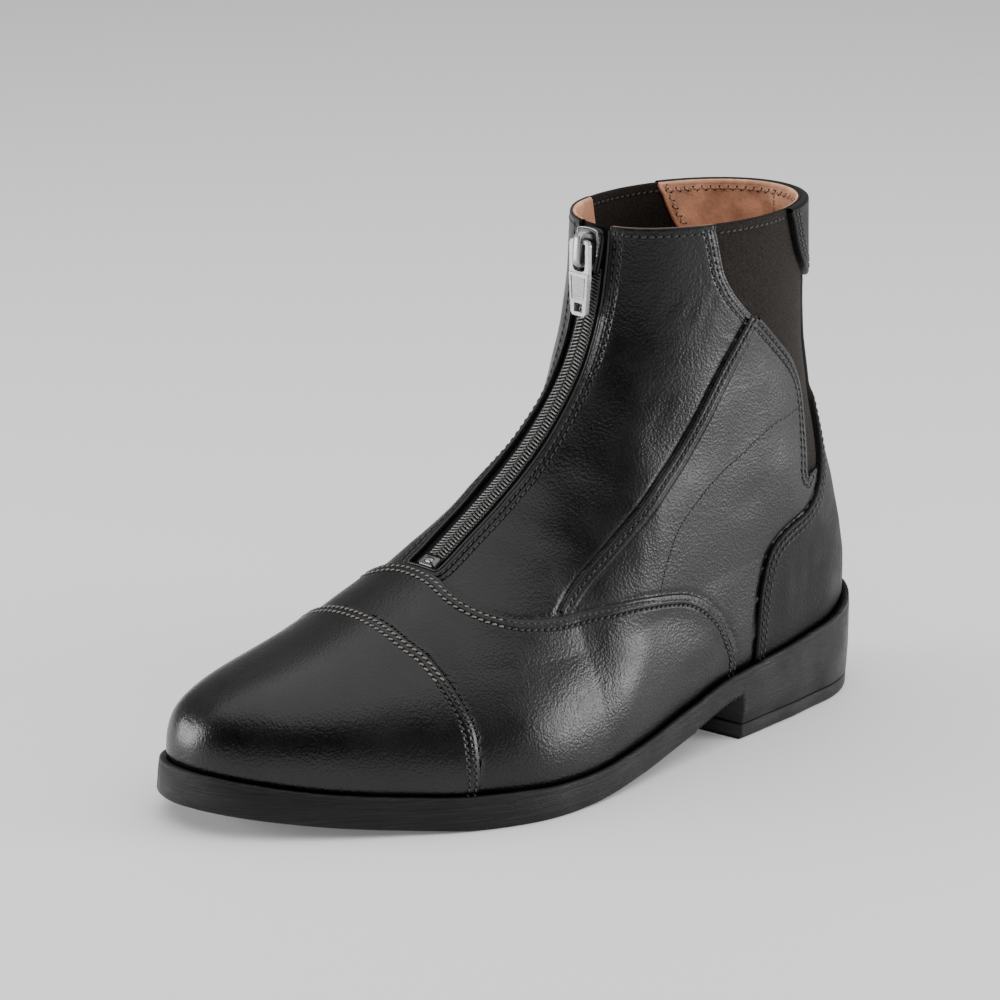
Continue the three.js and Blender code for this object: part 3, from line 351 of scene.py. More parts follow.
counter_top = counter_l[0, 1]
tab_low = tab_l[-1, 1]
cap_r = np.vstack([cap_l, [(BEFORE, -20), (BEFORE, HIGH)]])
vamp_r = np.vstack([cap_l, vamp_l[::-1]])
counter_edge = np.vstack([strip_line(counter_top + 2, tab_low + 2)[::-1], counter_l])
counter_r = np.vstack([counter_edge, [(BEHIND, -20), (BEHIND, tab_low + 2)]])
tab_r = np.vstack([tab_l, [(BEHIND, tab_low), (BEHIND, HIGH)]])
gusset_r = np.vstack([front_l, rear_l, seam_points(COUNTER[:3], 30)[::-1], strip_line(counter_top + 2, HIGH)])
vamp_back = vamp_l[vamp_l[:, 0] > diag_l[-1, 0] - 3]
counter_front = counter_l[counter_l[:, 1] < rear_l[-1, 1] + 1]
rear_r = np.vstack([diag_l, vamp_back + (-4, -4), (counter_front + (4, 0))[::-1], rear_l[::-1]])



def tree_of(points):
    tree = kdtree.KDTree(len(points))
    for i, p in enumerate(points):
        tree.insert(p, i)
    tree.balance()
    return tree


crest_tree = tree_of(np.column_stack([0 * run600, crest["y"], crest["z"]]))
slot_field = np.full(len(P), -99.0)
run_at = np.zeros(len(P))
slot_run0 = float(on_crest("y", y_of(SLOT_START), "run"))
for i in np.nonzero(np.abs(P[:, 0] - on_crest("y", P[:, 1], "x")) < 26)[0]:
    _, k, dist = crest_tree.find((0.0, P[i, 1], P[i, 2]))
    if dist < 14:
        run_at[i] = crest["run"][k]
        slot_field[i] = min(SLOT_HALF - abs(P[i, 0] - crest["x"][k]), run_at[i] - slot_run0)

cap_field = region(YZ, cap_r)

# Creases and soft unevenness, in side view
# side (1 outer, -1 inner, 0 both), points (along, height), width, depth
CREASES = [
    (0, [(0.60, 93), (0.53, 85), (0.46, 81)], 5.0, 0.3),
    (0, [(0.56, 101), (0.50, 91), (0.44, 87)], 4.6, 0.28),
    (0, [(0.52, 111), (0.47, 100), (0.41, 95)], 6.5, 0.22),
    (0, [(0.49, 122), (0.44, 111), (0.38, 107)], 7.0, 0.16),
    (0, [(0.19, 62), (0.185, 48), (0.19, 36)], 3.0, 0.16),
    (0, [(0.165, 66), (0.16, 52), (0.17, 40)], 2.6, 0.12),
    (0, [(0.34, 34), (0.32, 38), (0.312, 48)], 3.5, 0.3),
    (0, [(0.42, 30), (0.38, 32), (0.35, 37)], 4.0, 0.25),
    (0, [(0.24, 96), (0.27, 88), (0.32, 84)], 5.0, 0.22),
    (0, [(0.62, 60), (0.58, 52), (0.53, 50)], 6.0, 0.2),
    (0, [(0.47, 58), (0.43, 52), (0.38, 50)], 6.0, 0.18),
]
# Fine wrinkles beside the elastic's edge, and slanting ones across the front quarter
for k in range(6):
    CREASES.append((0, [(0.345 - 0.004 * k, 166 - 3.1 * k), (0.315 - 0.003 * k, 163.5 - 3.1 * k),
                        (0.292 - 0.002 * k, 160 - 3.0 * k)], 1.15, 0.16))
for k in range(7):
    CREASES.append((0, [(0.438 - 0.014 * k, 148 + 1.5 * (k % 3)), (0.424 - 0.014 * k, 158 + 1.5 * (k % 2)),
                        (0.405 - 0.014 * k, 170)], 1.9, 0.13))
for k in range(5):
    CREASES.append((0, [(0.50 - 0.016 * k, 124 - 2 * k), (0.475 - 0.016 * k, 132 - 2 * k),
                        (0.455 - 0.016 * k, 142 - 2 * k)], 2.2, 0.12))
rng = np.random.default_rng(7)
relief = np.zeros(len(P))
for side_, pts, width, depth in CREASES:
    line = resample(np.array([(y_of(a_), z_) for a_, z_ in pts]), count=14)
    line = np.vstack([line[:1], (line[:-2] + line[1:-1] + line[2:]) / 3, line[-1:]])
    dist, at = line_distance(YZ, line)
    fade = np.sin(np.pi * clamp(at, 0.02, 0.98)) ** 0.7
    shape = -np.exp(-(dist / width) ** 2) + 0.5 * np.exp(-((dist - 1.9 * width) / width) ** 2)
    relief += depth * shape * fade
for _ in range(26):
    k = rng.normal(size=3)
    k *= 2 * np.pi / rng.uniform(16, 60) / np.linalg.norm(k)
    relief += 0.03 * np.sin(P @ k + rng.uniform(0, 6.28))
foot_z = P[:, 2] - seat(clamp((BACK - P[:, 1]) / (BACK - FRONT)))
relief *= smooth(0, 6, foot_z) * smooth(COLLAR, COLLAR - 10, P[:, 2])
relief *= 1 - 0.8 * smooth(-2, 12, cap_field)
# The upper draws in where it meets the sole
relief -= 0.9 * smooth(3.2, 0.4, foot_z)

# Columns of base: place, normal, then these facts of each point
facts = {"relief": relief, "cap": cap_field, "vamp": region(YZ, vamp_r), "counter": region(YZ, counter_r),
         "tab": region(YZ, tab_r), "gusset": region(YZ, gusset_r), "rear": region(YZ, rear_r),
         "slot": slot_field, "run": run_at}
FIELDS = {name: 6 + i for i, name in enumerate(facts)}
base = np.column_stack([P, N, *facts.values()])


# Cutting the grid
def split(A, T, values, iso):
    """Cuts every triangle that crosses the iso line of values. Facts are carried along."""
    v = values - iso
    v = np.where(np.abs(v) < 1e-4, 1e-4, v)
    s = v > 0
    count = s[T].sum(1)
    mixed = (count == 1) | (count == 2)
    keep, M = T[~mixed], T[mixed]
    if not len(M):
        return A, T, values
    odd_sign = count[mixed] == 1
    odd = np.argmax(s[M] == odd_sign[:, None], axis=1)
    idx = (odd[:, None] + np.arange(3)) % 3
    M = np.take_along_axis(M, idx, 1)
    a_, b_, c_ = M.T
    edges = np.sort(np.concatenate([np.stack([a_, b_], 1), np.stack([a_, c_], 1)]), axis=1)
    uniq, inverse = np.unique(edges, axis=0, return_inverse=True)
    inverse = inverse.reshape(-1)
    f = v[uniq[:, 0]] / (v[uniq[:, 0]] - v[uniq[:, 1]])
    new = A[uniq[:, 0]] + (A[uniq[:, 1]] - A[uniq[:, 0]]) * f[:, None]
    n = len(A)
    p, q = n + inverse[:len(M)], n + inverse[len(M):]
    T2 = np.concatenate([keep, np.stack([a_, p, q], 1), np.stack([p, b_, c_], 1), np.stack([p, c_, q], 1)])
    return np.vstack([A, new]), T2, np.concatenate([values, np.full(len(uniq), iso)])


def part(A, T, values, iso, above):
    """The part of a mesh where values lie above, or below, iso, with a clean cut edge."""
    A, T, v = split(A, T, values, iso)
    centre = v[T].mean(1)
    return compact(A, T[(centre > iso) if above else (centre < iso)])


def compact(A, T):
    used, inverse = np.unique(T, return_inverse=True)
    return A[used], inverse.reshape(-1, 3)


def isolines(A, T, values, iso=0.0, keep=None):
    """Polylines along an iso line, as rows of carried facts."""
    v = values - iso
    v = np.where(np.abs(v) < 1e-6, 1e-6, v)
    s = v > 0
    count = s[T].sum(1)
    M = T[(count == 1) | (count == 2)]
    segs = []
    for i, j in ((0, 1), (1, 2), (2, 0)):
        cross = s[M[:, i]] != s[M[:, j]]
        segs.append(np.where(cross[:, None], np.sort(np.stack([M[:, i], M[:, j]], 1), axis=1), -1))
    segs = np.stack(segs, 1)
    pairs = segs[(segs[:, :, 0] >= 0)].reshape(-1, 2, 2)
    uniq, inverse = np.unique(pairs.reshape(-1, 2), axis=0, return_inverse=True)
    links = inverse.reshape(-1, 2)
    f = v[uniq[:, 0]] / (v[uniq[:, 0]] - v[uniq[:, 1]])
    new = A[uniq[:, 0]] + (A[uniq[:, 1]] - A[uniq[:, 0]]) * f[:, None]
    good = np.abs(v[uniq[:, 0]] - v[uniq[:, 1]]) < 6
    if keep is not None:
        good &= keep(new)
    near = {}
    for i, j in links:
        if i != j and good[i] and good[j]:
            near.setdefault(int(i), []).append(int(j))
            near.setdefault(int(j), []).append(int(i))
    lines, seen = [], set()
    for start in sorted(near, key=lambda k: len(near[k])):
        if start in seen:
            continue
        line, at = [start], start
        seen.add(start)
        while True:
            nexts = [k for k in near[at] if k not in seen]
            if not nexts:
                if len(line) > 2 and line[0] in near[at]:
                    line.append(line[0])
                break
            at = nexts[0]
            seen.add(at)
            line.append(at)
        if len(line) > 3:
            lines.append(new[line])
    return lines


def tidy_line(line, step, soften=2):
    line = resample(line, step=step)
    closed = np.linalg.norm(line[0, :3] - line[-1, :3]) < step
    for _ in range(soften):
        inner = (line[:-2] + 2 * line[1:-1] + line[2:]) / 4
        line = np.vstack([line[:1], inner, line[-1:]])
        if closed:
            line[0] = line[-1] = (line[1] + line[-2]) / 2
    line[:, 3:6] /= np.linalg.norm(line[:, 3:6], axis=1, keepdims=True)
    return line


def found(A, T, values, iso, keep=None, step=0.9, soften=2, least=6):
    """Tidy lines along an iso line, without its scraps."""
    return [tidy_line(l_, step, soften) for l_ in isolines(A, T, values, iso, keep) if len(l_) > least]


base_tree = tree_of(P)


def field_from_lines(lines, sign):
    """Distance in space to the lines for every grid point, up to 16 mm, signed as sign is."""
    result = np.full(len(P), 16.0)
    pts = np.vstack([resample(line[:, :3], step=0.35) for line in lines])
    tree = tree_of(pts)
    lo, hi = pts.min(0) - 16, pts.max(0) + 16
    for i in np.nonzero(((P > lo) & (P < hi)).all(1))[0]:
        result[i] = min(tree.find(P[i])[2], 16.0)
    return np.where(sign > 0, result, -result)


def seam(region_name, line, extra=lambda r: True):
    """A seam in space, and the grid's distance from it, positive inside the region."""
    column = base[:, FIELDS[region_name]]
    keep = lambda r: (line_distance(r[:, 1:3], line)[0] < 0.9) & extra(r)
    lines = [tidy_line(line_, 0.8) for line_ in isolines(base, TRIS, column, 0.0, keep)]
    lines = [line_ for line_ in lines if len(line_) > 8]
    return lines, field_from_lines(lines, column)


cap_s, d_cap = seam("cap", cap_l)
vamp_s, d_vamp = seam("vamp", vamp_l)
diag_s, d_diag = seam("rear", diag_l)
rear_s, d_rear = seam("rear", rear_l)
front_s, d_front = seam("gusset", front_l, lambda r: (np.abs(r[:, 0]) > 5) & (r[:, 2] < COLLAR + 1))
counter_s, d_counter = seam("counter", counter_edge)
tab_s, d_tab = seam("tab", tab_l)
slot_s = found(base, TRIS, slot_field, 0.0, lambda r: r[:, FIELDS["run"]] > 1, 0.8, 4, 0)
slot_s = [l_ for l_ in slot_s if len(l_) > 30]
d_slot = field_from_lines(slot_s, slot_field)
slot_s, front_s, tab_s = ([l_[l_[:, 2] < COLLAR - 1.1] for l_ in lines] for lines in (slot_s, front_s, tab_s))

# Dark hollows along the seams, on the lower panel's side
for d_, depth, width in ((d_diag, 0.75, 1.3), (d_counter, 0.7, 1.2), (d_vamp, 0.45, 1.1), (d_tab, 0.5, 1.1)):
    base[:, FIELDS["relief"]] -= np.where((d_ < 0) & (d_ > -6), depth * np.exp(-(d_ / width) ** 2), 0)
seam_fields = {"d_cap": d_cap, "d_vamp": d_vamp, "d_diag": d_diag, "d_rear": d_rear, "d_front": d_front,
               "d_counter": d_counter, "d_tab": d_tab, "d_slot": d_slot}
FIELDS.update({name: base.shape[1] + i for i, name in enumerate(seam_fields)})
base = np.column_stack([base, *seam_fields.values()])


def col(A, name):
    return A[:, FIELDS[name]]


# Meshes
def put(name, data):
    o = bpy.data.objects.new(name, data)
    bpy.context.scene.collection.objects.link(o)
    return o


def make(name, verts, faces, material, slot, body="boot", replaces=(), attrs=None, smooth_shade=True):
    me = bpy.data.meshes.new(name)
    co = (np.asarray(verts) + SHIFT) * 0.001
    me.from_pydata(co.tolist(), [], np.asarray(faces).tolist() if isinstance(faces, np.ndarray) else faces)
    for key, values in (attrs or {}).items():
        me.attributes.new(key, "FLOAT", "POINT").data.foreach_set("value", np.asarray(values, np.float32))
    me.polygons.foreach_set("use_smooth", [smooth_shade] * len(me.polygons))
    me.update()
    me.materials.append(material)
    o = put(name, me)
    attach(o, body)
    if replaces:
        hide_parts(*replaces)


def join(chunks):
    """Several (vertices, faces) into one."""
    verts, faces, n = [], [], 0
    for v, f in chunks:
        verts.append(v)
        faces.extend((f + n).tolist() if isinstance(f, np.ndarray) else [tuple(i + n for i in q) for q in f])
        n += len(v)
    return np.vstack(verts), faces


def strip_faces(m, k):
    """Faces of m rows of k points."""
    i, j = np.meshgrid(np.arange(m - 1), np.arange(k - 1), indexing="ij")
    a_ = i * k + j
    return np.stack([a_, a_ + 1, a_ + k + 1, a_ + k], -1).reshape(-1, 4)


def ring_faces(rings, m, closed=False):
    """Faces of closed rings of m points, one ring to the next. closed: the last one meets the first."""
    return [(r * m + j, r * m + (j + 1) % m, (r + 1) % rings * m + (j + 1) % m, (r + 1) % rings * m + j)
            for r in range(rings if closed else rings - 1) for j in range(m)]


def end_faces(rings, m):
    last = (rings - 1) * m
    return [tuple(range(m - 1, -1, -1)), tuple(range(last, last + m))]


def frames(line):
    t = np.gradient(line[:, :3], axis=0)
    if np.linalg.norm(line[0, :3] - line[-1, :3]) < 1e-6:
        t[0] = t[-1] = line[1, :3] - line[-2, :3]
    t /= np.linalg.norm(t, axis=1, keepdims=True)
    n = line[:, 3:6]
    b = np.cross(n, t)
    b /= np.linalg.norm(b, axis=1, keepdims=True)
    return t, b, n


def inward(line, field):
    """Side vectors of a line, turned to where the field grows."""
    t, b, n = frames(line)
    votes = 0
    for i in range(4, len(line) - 4, max(len(line) // 12, 1)):
        up_ = field[base_tree.find(line[i, :3] + 2.5 * b[i])[1]]
        down_ = field[base_tree.find(line[i, :3] - 2.5 * b[i])[1]]
        votes += 1 if up_ > down_ else -1
    return t, (b if votes > 0 else -b), n


def sweep(line, field, profile):
    """A strip along a line: profile points are (to where the field grows, out) in mm."""
    _, b, n = inward(line, field)
    high = col(line, "relief")[:, None]
    rings = [line[:, :3] + b * p[0] + n * (p[1] + high) for p in profile]
    return np.stack(rings, 1).reshape(-1, 3), strip_faces(len(line), len(profile))


def edge_profile(under, top, r=0.9):
    r = min(r, top - under)
    arc = [(r * (1 - math.cos(f)), top - r + r * math.sin(f)) for f in np.linspace(0, math.pi / 2, 6)]
    return [(0.1, under - 0.5)] + arc + [(r + 0.3, top), (r + 0.8, top - 0.06), (r + 1.5, top - 0.15)]


def panel(name, A, T, offset, material, slot, borders=(), replaces=(), attrs=None, lift=None):
    """One panel: its face, and rounded edges along its own borders."""
    high = offset if lift is None else offset + lift(A)
    chunks = [(A[:, :3] + A[:, 3:6] * (high + col(A, "relief"))[:, None], T)]
    data = {k: [v(A)] for k, v in (attrs or {}).items()}
    for lines, field, under, top in borders:
        profile = edge_profile(under, top)
        for line in lines:
            v, f = sweep(line, field, profile)
            chunks.append((v, f))
            for k in data:
                inside_by = np.tile([p[0] for p in profile], len(line))
                data[k].append(inside_by if k == "edge" else np.full(len(v), 9.0))
    verts, faces = join(chunks)
    make(name, verts, faces, material, slot, replaces=replaces,
         attrs={k: np.concatenate(v) for k, v in data.items()})


# Stitches: short threads whose ends dip into the leather, and a matte black disc at each end as painted shade
# for the needle hole.
RING = np.arange(6) * np.pi / 3


def stitch_rows(line, pitch=2.75, length=2.15, width=0.33, height=0.3, offset=0.0, slant=0.16, zigzag=0.0):
    template = []
    for s_ in np.linspace(-1, 1, 5):
        r = math.sqrt(max(1 - s_**4, 0.02))
        lift = 0.16 * (1 - s_**2) - 0.06
        template += [(s_ * length / 2, math.cos(g) * width * r, math.sin(g) * height * r + lift)
                     for g in RING]
    template = np.array(template)
    quads = np.array(ring_faces(5, 6))
    hole = np.array([(math.cos(g) * 0.32, math.sin(g) * 0.36, 0.05) for g in RING] + [(0, 0, 0.1)])
    fan = np.array([(i, (i + 1) % 6, 6) for i in range(6)])
    line = resample(line, step=pitch)
    line[:, 3:6] /= np.linalg.norm(line[:, 3:6], axis=1, keepdims=True)
    t, b, n = frames(line)
    at = line[:, :3] + n * (offset + line[:, FIELDS["relief"]])[:, None]
    at += b * (zigzag * (-1.0) ** np.arange(len(line)))[:, None]
    mid, nm = (line[1:] + line[:-1]) / 2, (n[1:] + n[:-1]) / 2
    tt = np.diff(at, axis=0)
    tt /= np.linalg.norm(tt, axis=1, keepdims=True)
    bb = np.cross(nm, tt)
    turn = slant + rng.normal(scale=0.03, size=(len(mid), 1))
    tt, bb = tt * np.cos(turn) + bb * np.sin(turn), bb * np.cos(turn) - tt * np.sin(turn)
    axes = np.stack([tt, bb, nm], 1)
    v = (at[1:] + at[:-1])[:, None] / 2 + template @ axes
    f = quads[None] + len(template) * np.arange(len(mid))[:, None, None]
    hv = at[:, None] + hole @ np.stack([t, b, n], 1)
    hf = fan[None] + len(hole) * np.arange(len(line))[:, None, None]
    return v.reshape(-1, 3), f, hv.reshape(-1, 3), hf.reshape(-1, 3), mid


# Materials
def node(tree, kind, **values):
    n = tree.nodes.new(kind)
    for key, value in values.items():
        if key in n.inputs:
            n.inputs[key].default_value = value
        else:
            setattr(n, key, value)
    return n


def shader(name, color, rough, spec=0.5, metallic=0.0, coat=0.0, coat_rough=0.3, sheen=0.0):
    m = bpy.data.materials.new(name)
    m.use_nodes = True
    t = m.node_tree
    p = t.nodes["Principled BSDF"]
    for key, value in (("Base Color", (*color, 1)), ("Roughness", rough), ("Metallic", metallic),
                       ("Specular IOR Level", spec), ("Coat Weight", coat), ("Coat Roughness", coat_rough),
                       ("Sheen Weight", sheen), ("Sheen Roughness", 0.5)):
        p.inputs[key].default_value = value
    return m, t, p


def coords(t, scale=(1, 1, 1), turn=(0, 0, 0)):
    c = node(t, "ShaderNodeTexCoord")
    m = node(t, "ShaderNodeMapping", Scale=scale, Rotation=turn)
    t.links.new(c.outputs["Object"], m.inputs["Vector"])
    return m.outputs[0]


def bump_chain(t, p, items):
    """items: (height socket, strength, distance in metres)."""
    last = None
    for height, strength, distance in items:
        b = node(t, "ShaderNodeBump", Strength=strength, Distance=distance)
        t.links.new(height, b.inputs["Height"])
        if last is not None:
            t.links.new(last, b.inputs["Normal"])
        last = b.outputs[0]
    t.links.new(last, p.inputs["Normal"])


def noise(t, vec, scale, detail=3.0, rough=0.55):
    n = node(t, "ShaderNodeTexNoise", Scale=scale, Detail=detail, Roughness=rough)
    t.links.new(vec, n.inputs["Vector"])
    return n.outputs["Fac"]


def ramp(t, fac, stops):
    r = node(t, "ShaderNodeValToRGB")
    r.color_ramp.interpolation = "EASE"
    while len(r.color_ramp.elements) < len(stops):
        r.color_ramp.elements.new(0.5)
    for e, (at, v) in zip(r.color_ramp.elements, stops):
        e.position = at
        e.color = (v, v, v, 1) if not isinstance(v, tuple) else (*v, 1)
    t.links.new(fac, r.inputs["Fac"])
    return r.outputs["Color"]


def leather(name, color, rough, grain=0.5, rows_=None, coat=0.06, streak=0.0, spec=0.38):
    m, t, p = shader(name, color, rough[0], spec=spec, coat=coat, coat_rough=0.28)
    vec = coords(t)
    cells = node(t, "ShaderNodeTexVoronoi", feature="SMOOTH_F1", Scale=1150.0, Smoothness=0.7)
    t.links.new(vec, cells.inputs["Vector"])
    broad = noise(t, vec, 60.0, 5.0, 0.62)
    t.links.new(ramp(t, broad, [(0.32, rough[0]), (0.68, rough[1])]), p.inputs["Roughness"])
    shade = tuple(c * 1.7 for c in color)
    t.links.new(ramp(t, noise(t, vec, 130.0, 4.0), [(0.35, color), (0.75, shade)]), p.inputs["Base Color"])
    items = [(cells.outputs["Distance"], grain, 0.0003), (noise(t, vec, 2300.0, 2.0), 0.35, 0.00014),
             (noise(t, vec, 480.0, 4.0), 0.16, 0.0003)]
    if streak:
        slanting = coords(t, (300, 1150, 190), (math.radians(38), 0, 0))
        items.append((noise(t, slanting, 1.0, 4.0, 0.6), streak, 0.0007))
    if rows_:
        a_ = node(t, "ShaderNodeAttribute", attribute_name="edge")
        k = node(t, "ShaderNodeMath", operation="MULTIPLY")
        k.inputs[1].default_value = 1 / 16
        t.links.new(a_.outputs["Fac"], k.inputs[0])
        stops = [(0.0, 0.5)]
        for r in rows_:
            stops += [((r - 0.95) / 16, 0.62), (r / 16, 0.15), ((r + 0.95) / 16, 0.62)]
        stops += [(0.6, 0.5), (0.9, 0.5)]
        items.append((ramp(t, k.outputs[0], stops), 0.8, 0.0008))
    bump_chain(t, p, items)
    return m


BLACK = (0.0021, 0.002, 0.0018)
ROWS = {"cap": (1.6, 3.9), "vamp": (1.8, 4.1), "rear": (2.3, 4.6), "counter": (2.3, 4.7), "leg": (2.4, 4.5)}
leather_cap = leather("leather_cap", BLACK, (0.25, 0.36), 0.3, ROWS["cap"], coat=0.12)
leather_vamp = leather("leather_vamp", BLACK, (0.29, 0.41), 0.4, ROWS["vamp"])
leather_leg = leather("leather_leg", BLACK, (0.29, 0.42), 0.45, ROWS["leg"], streak=0.12)
leather_rear = leather("leather_rear", BLACK, (0.33, 0.47), 0.5, ROWS["rear"])
leather_counter = leather("leather_counter", BLACK, (0.4, 0.54), 0.45, ROWS["counter"], coat=0.0, spec=0.2)
lining_mat = leather("lining_leather", (0.66, 0.34, 0.21), (0.55, 0.72), 0.35, coat=0.0)


def plain(name, color, rough, height, strength, distance, **how):
    m, t, p = shader(name, color, rough, **how)
    vec = coords(t)
    fac = noise(t, vec, height, 3.0)
    shade = tuple(c * 0.6 for c in color)
    t.links.new(ramp(t, fac, [(0.3, shade), (0.7, color)]), p.inputs["Base Color"])
    bump_chain(t, p, [(fac, strength, distance)])
    return m


thread_mat = plain("thread_black", (0.02, 0.019, 0.018), 0.55, 5200.0, 0.5, 0.0001, sheen=0.2)
# Grey thread: the same black thread painted lighter, as the highlight on the upward-facing stitches
thread_painted_highlight_mat = plain("thread_painted_highlight", (0.24, 0.225, 0.21), 0.7, 5200.0, 0.5, 0.0001)
tan_mat = plain("thread_tan", (0.62, 0.42, 0.31), 0.7, 5200.0, 0.5, 0.0001)
# Matte black discs at the stitch ends, with no hole under them: painted shade for the needle holes
hole_painted_shade_mat = plain("needle_hole", (0.002, 0.002, 0.002), 0.9, 4000.0, 0.3, 0.0001, spec=0.1)
tape_mat = plain("zip_tape", (0.006, 0.006, 0.006), 0.85, 1800.0, 0.6, 0.0003, spec=0.2)
coil_mat = plain("zip_coil", (0.10, 0.099, 0.096), 0.3, 2600.0, 0.2, 0.0001, spec=0.7, coat=0.4,
                 coat_rough=0.2)
enamel_mat = plain("zip_enamel", (0.004, 0.004, 0.004), 0.3, 2600.0, 0.15, 0.0001, spec=0.3)
metal_mat = plain("zip_metal", (0.5, 0.5, 0.51), 0.38, 2400.0, 0.15, 0.0001, metallic=0.75)
recess_mat = plain("zip_recess", (0.4, 0.4, 0.41), 0.45, 1800.0, 0.4, 0.00015, metallic=0.6)

elastic_mat, te_, ep_ = shader("elastic", (0.022, 0.0175, 0.015), 0.85, spec=0.12, sheen=0.06)
ev = coords(te_)
weave = node(te_, "ShaderNodeTexWave", wave_type="BANDS", bands_direction="Z", Scale=330.0, Distortion=2.2,
             Detail=2.0)
weave.inputs["Detail Scale"].default_value = 5.0
te_.links.new(ev, weave.inputs["Vector"])
fuzz = noise(te_, ev, 1500.0, 4.0, 0.7)
fuzz_color = ramp(te_, fuzz, [(0.35, (0.006, 0.005, 0.0042)), (0.68, (0.026, 0.02, 0.0165))])
te_.links.new(fuzz_color, ep_.inputs["Base Color"])
bump_chain(te_, ep_, [(weave.outputs["Fac"], 0.3, 0.0003), (fuzz, 0.7, 0.0004)])

sole_mat, ts_, sp_ = shader("sole_rubber", (0.009, 0.009, 0.009), 0.42, spec=0.24)
lines_s = noise(ts_, coords(ts_, (45, 45, 2300)), 1.0, 5.0, 0.7)
sole_rough = ramp(ts_, noise(ts_, coords(ts_), 90.0, 4.0), [(0.3, 0.34), (0.7, 0.52)])
ts_.links.new(sole_rough, sp_.inputs["Roughness"])
sole_color = ramp(ts_, lines_s, [(0.4, (0.006, 0.006, 0.006)), (0.72, (0.02, 0.02, 0.02))])
ts_.links.new(sole_color, sp_.inputs["Base Color"])
bump_chain(ts_, sp_, [(lines_s, 0.6, 0.0005), (noise(ts_, coords(ts_), 1500.0, 3.0), 0.35, 0.0002)])

# Lighter grey for the bead on the zip facings' edges: painted highlight on the black leather's rim
facing_highlight_mat = plain("facing_edge_painted_highlight", (0.035, 0.034, 0.032), 0.36, 1500.0, 0.3, 0.0002)

# Panels of the upper
threads = {"black": [], "painted_highlight": [], "tan": [], "holes": []}


def sew(lines, offset, tone="black", **how):
    """Stitches along lines. tone may be a test on points that picks the stitches whose black thread is
    painted grey as a highlight.
    """
    for line in lines:
        v, f, hv, hf, mid = stitch_rows(line, offset=offset, **how)
        painted_highlight = tone(mid) if callable(tone) else np.zeros(len(mid), bool)
        for key, mask in (("painted_highlight", painted_highlight), ("black" if callable(tone) else tone, ~painted_highlight)):
            if mask.any():
                used, index = np.unique(f[mask], return_inverse=True)
                threads[key].append((v[used], index.reshape(-1, 4)))
        threads["holes"].append((hv, hf))


def rows_on(A, T, field, distances, offset, keep=None, **how):
    for dist in distances:
        lines = found(A, T, col(A, field), dist, keep, soften=3)
        long_enough = lambda line: np.linalg.norm(np.diff(line[:, :3], axis=0), axis=1).sum() > 8
        sew(filter(long_enough, lines), offset, **how)


def edge_of(*names):
    return lambda A: np.minimum.reduce([np.abs(col(A, n)) for n in names])


def clip(A, T, *cuts):
    """Cuts in turn. Each is (column or values of A, iso, keep above)."""
    for what, iso, above in cuts:
        values = col(A, what) if isinstance(what, str) else what(A)
        A, T = part(A, T, values, iso, above)
    return A, T


def near_only(name, sign=1):
    """A seam's distance, with points far from the seam counted as inside."""
    return lambda A: np.where(np.abs(col(A, name)) > 15.9, 50.0, sign * col(A, name))


height = lambda A: A[:, 2]
below_top = lambda r: r[:, 2] < COLLAR - 1.6
# Upward-facing stitches on the top of the foot, which get the grey thread: painted highlight
highlit_top_of_foot = lambda r: (r[:, 5] > 0.62) & (r[:, 1] < -20)

# Toe cap
A, T = clip(base, TRIS, ("d_cap", 1.2, True))
panel("toe_cap_leather", A, T, 2.2, leather_cap, "leather", borders=[(cap_s, d_cap, 1.0, 2.2)],
      replaces=("toe_cap",), attrs={"edge": edge_of("d_cap")})
rows_on(A, T, "d_cap", ROWS["cap"], 2.2, tone=highlit_top_of_foot, slant=0.42, pitch=2.3, length=2.0, width=0.42)

# Vamp, tucked under the cap in front and laid over the quarters behind
A, T = clip(base, TRIS, ("d_vamp", 1.2, True), ("d_cap", 3.0, False))
fold = lambda A_: 0.4 * np.exp(-(col(A_, "d_vamp") / 4.5) ** 2)
panel("vamp_leather", A, T, 1.4, leather_vamp, "leather", borders=[(vamp_s, d_vamp, 0.2, 1.78)],
      replaces=("vamp",), attrs={"edge": edge_of("d_vamp")}, lift=fold)
rows_on(A, T, "d_vamp", ROWS["vamp"], 1.62, tone=highlit_top_of_foot, slant=0.3, pitch=2.4, length=2.0, width=0.38)

# Rear quarters
for side_, label in ((1, "left"), (-1, "right")):
    A, T = compact(base, TRIS[side_ * base[TRIS][:, :, 0].mean(1) > 0])
    A, T = clip(A, T, ("rear", -0.2, True), (near_only("d_diag"), 1.2, True),
                (near_only("d_rear"), 1.2, True))
    lines_d = [l_ for l_ in diag_s if side_ * l_[:, 0].mean() > 0]
    lines_r = [l_ for l_ in rear_s if side_ * l_[:, 0].mean() > 0]
    panel("rear_quarter_leather_" + label, A, T, 0.9, leather_rear, "leather",
          borders=[(lines_d, d_diag, -0.7, 0.92), (lines_r, d_rear, -0.9, 0.92)],
          replaces=("rear_quarter_" + label,), attrs={"edge": edge_of("d_diag", "d_rear")})
    rows_on(A, T, "d_diag", (2.2,), 0.9)
    rows_on(A, T, "d_rear", ROWS["rear"], 0.9)

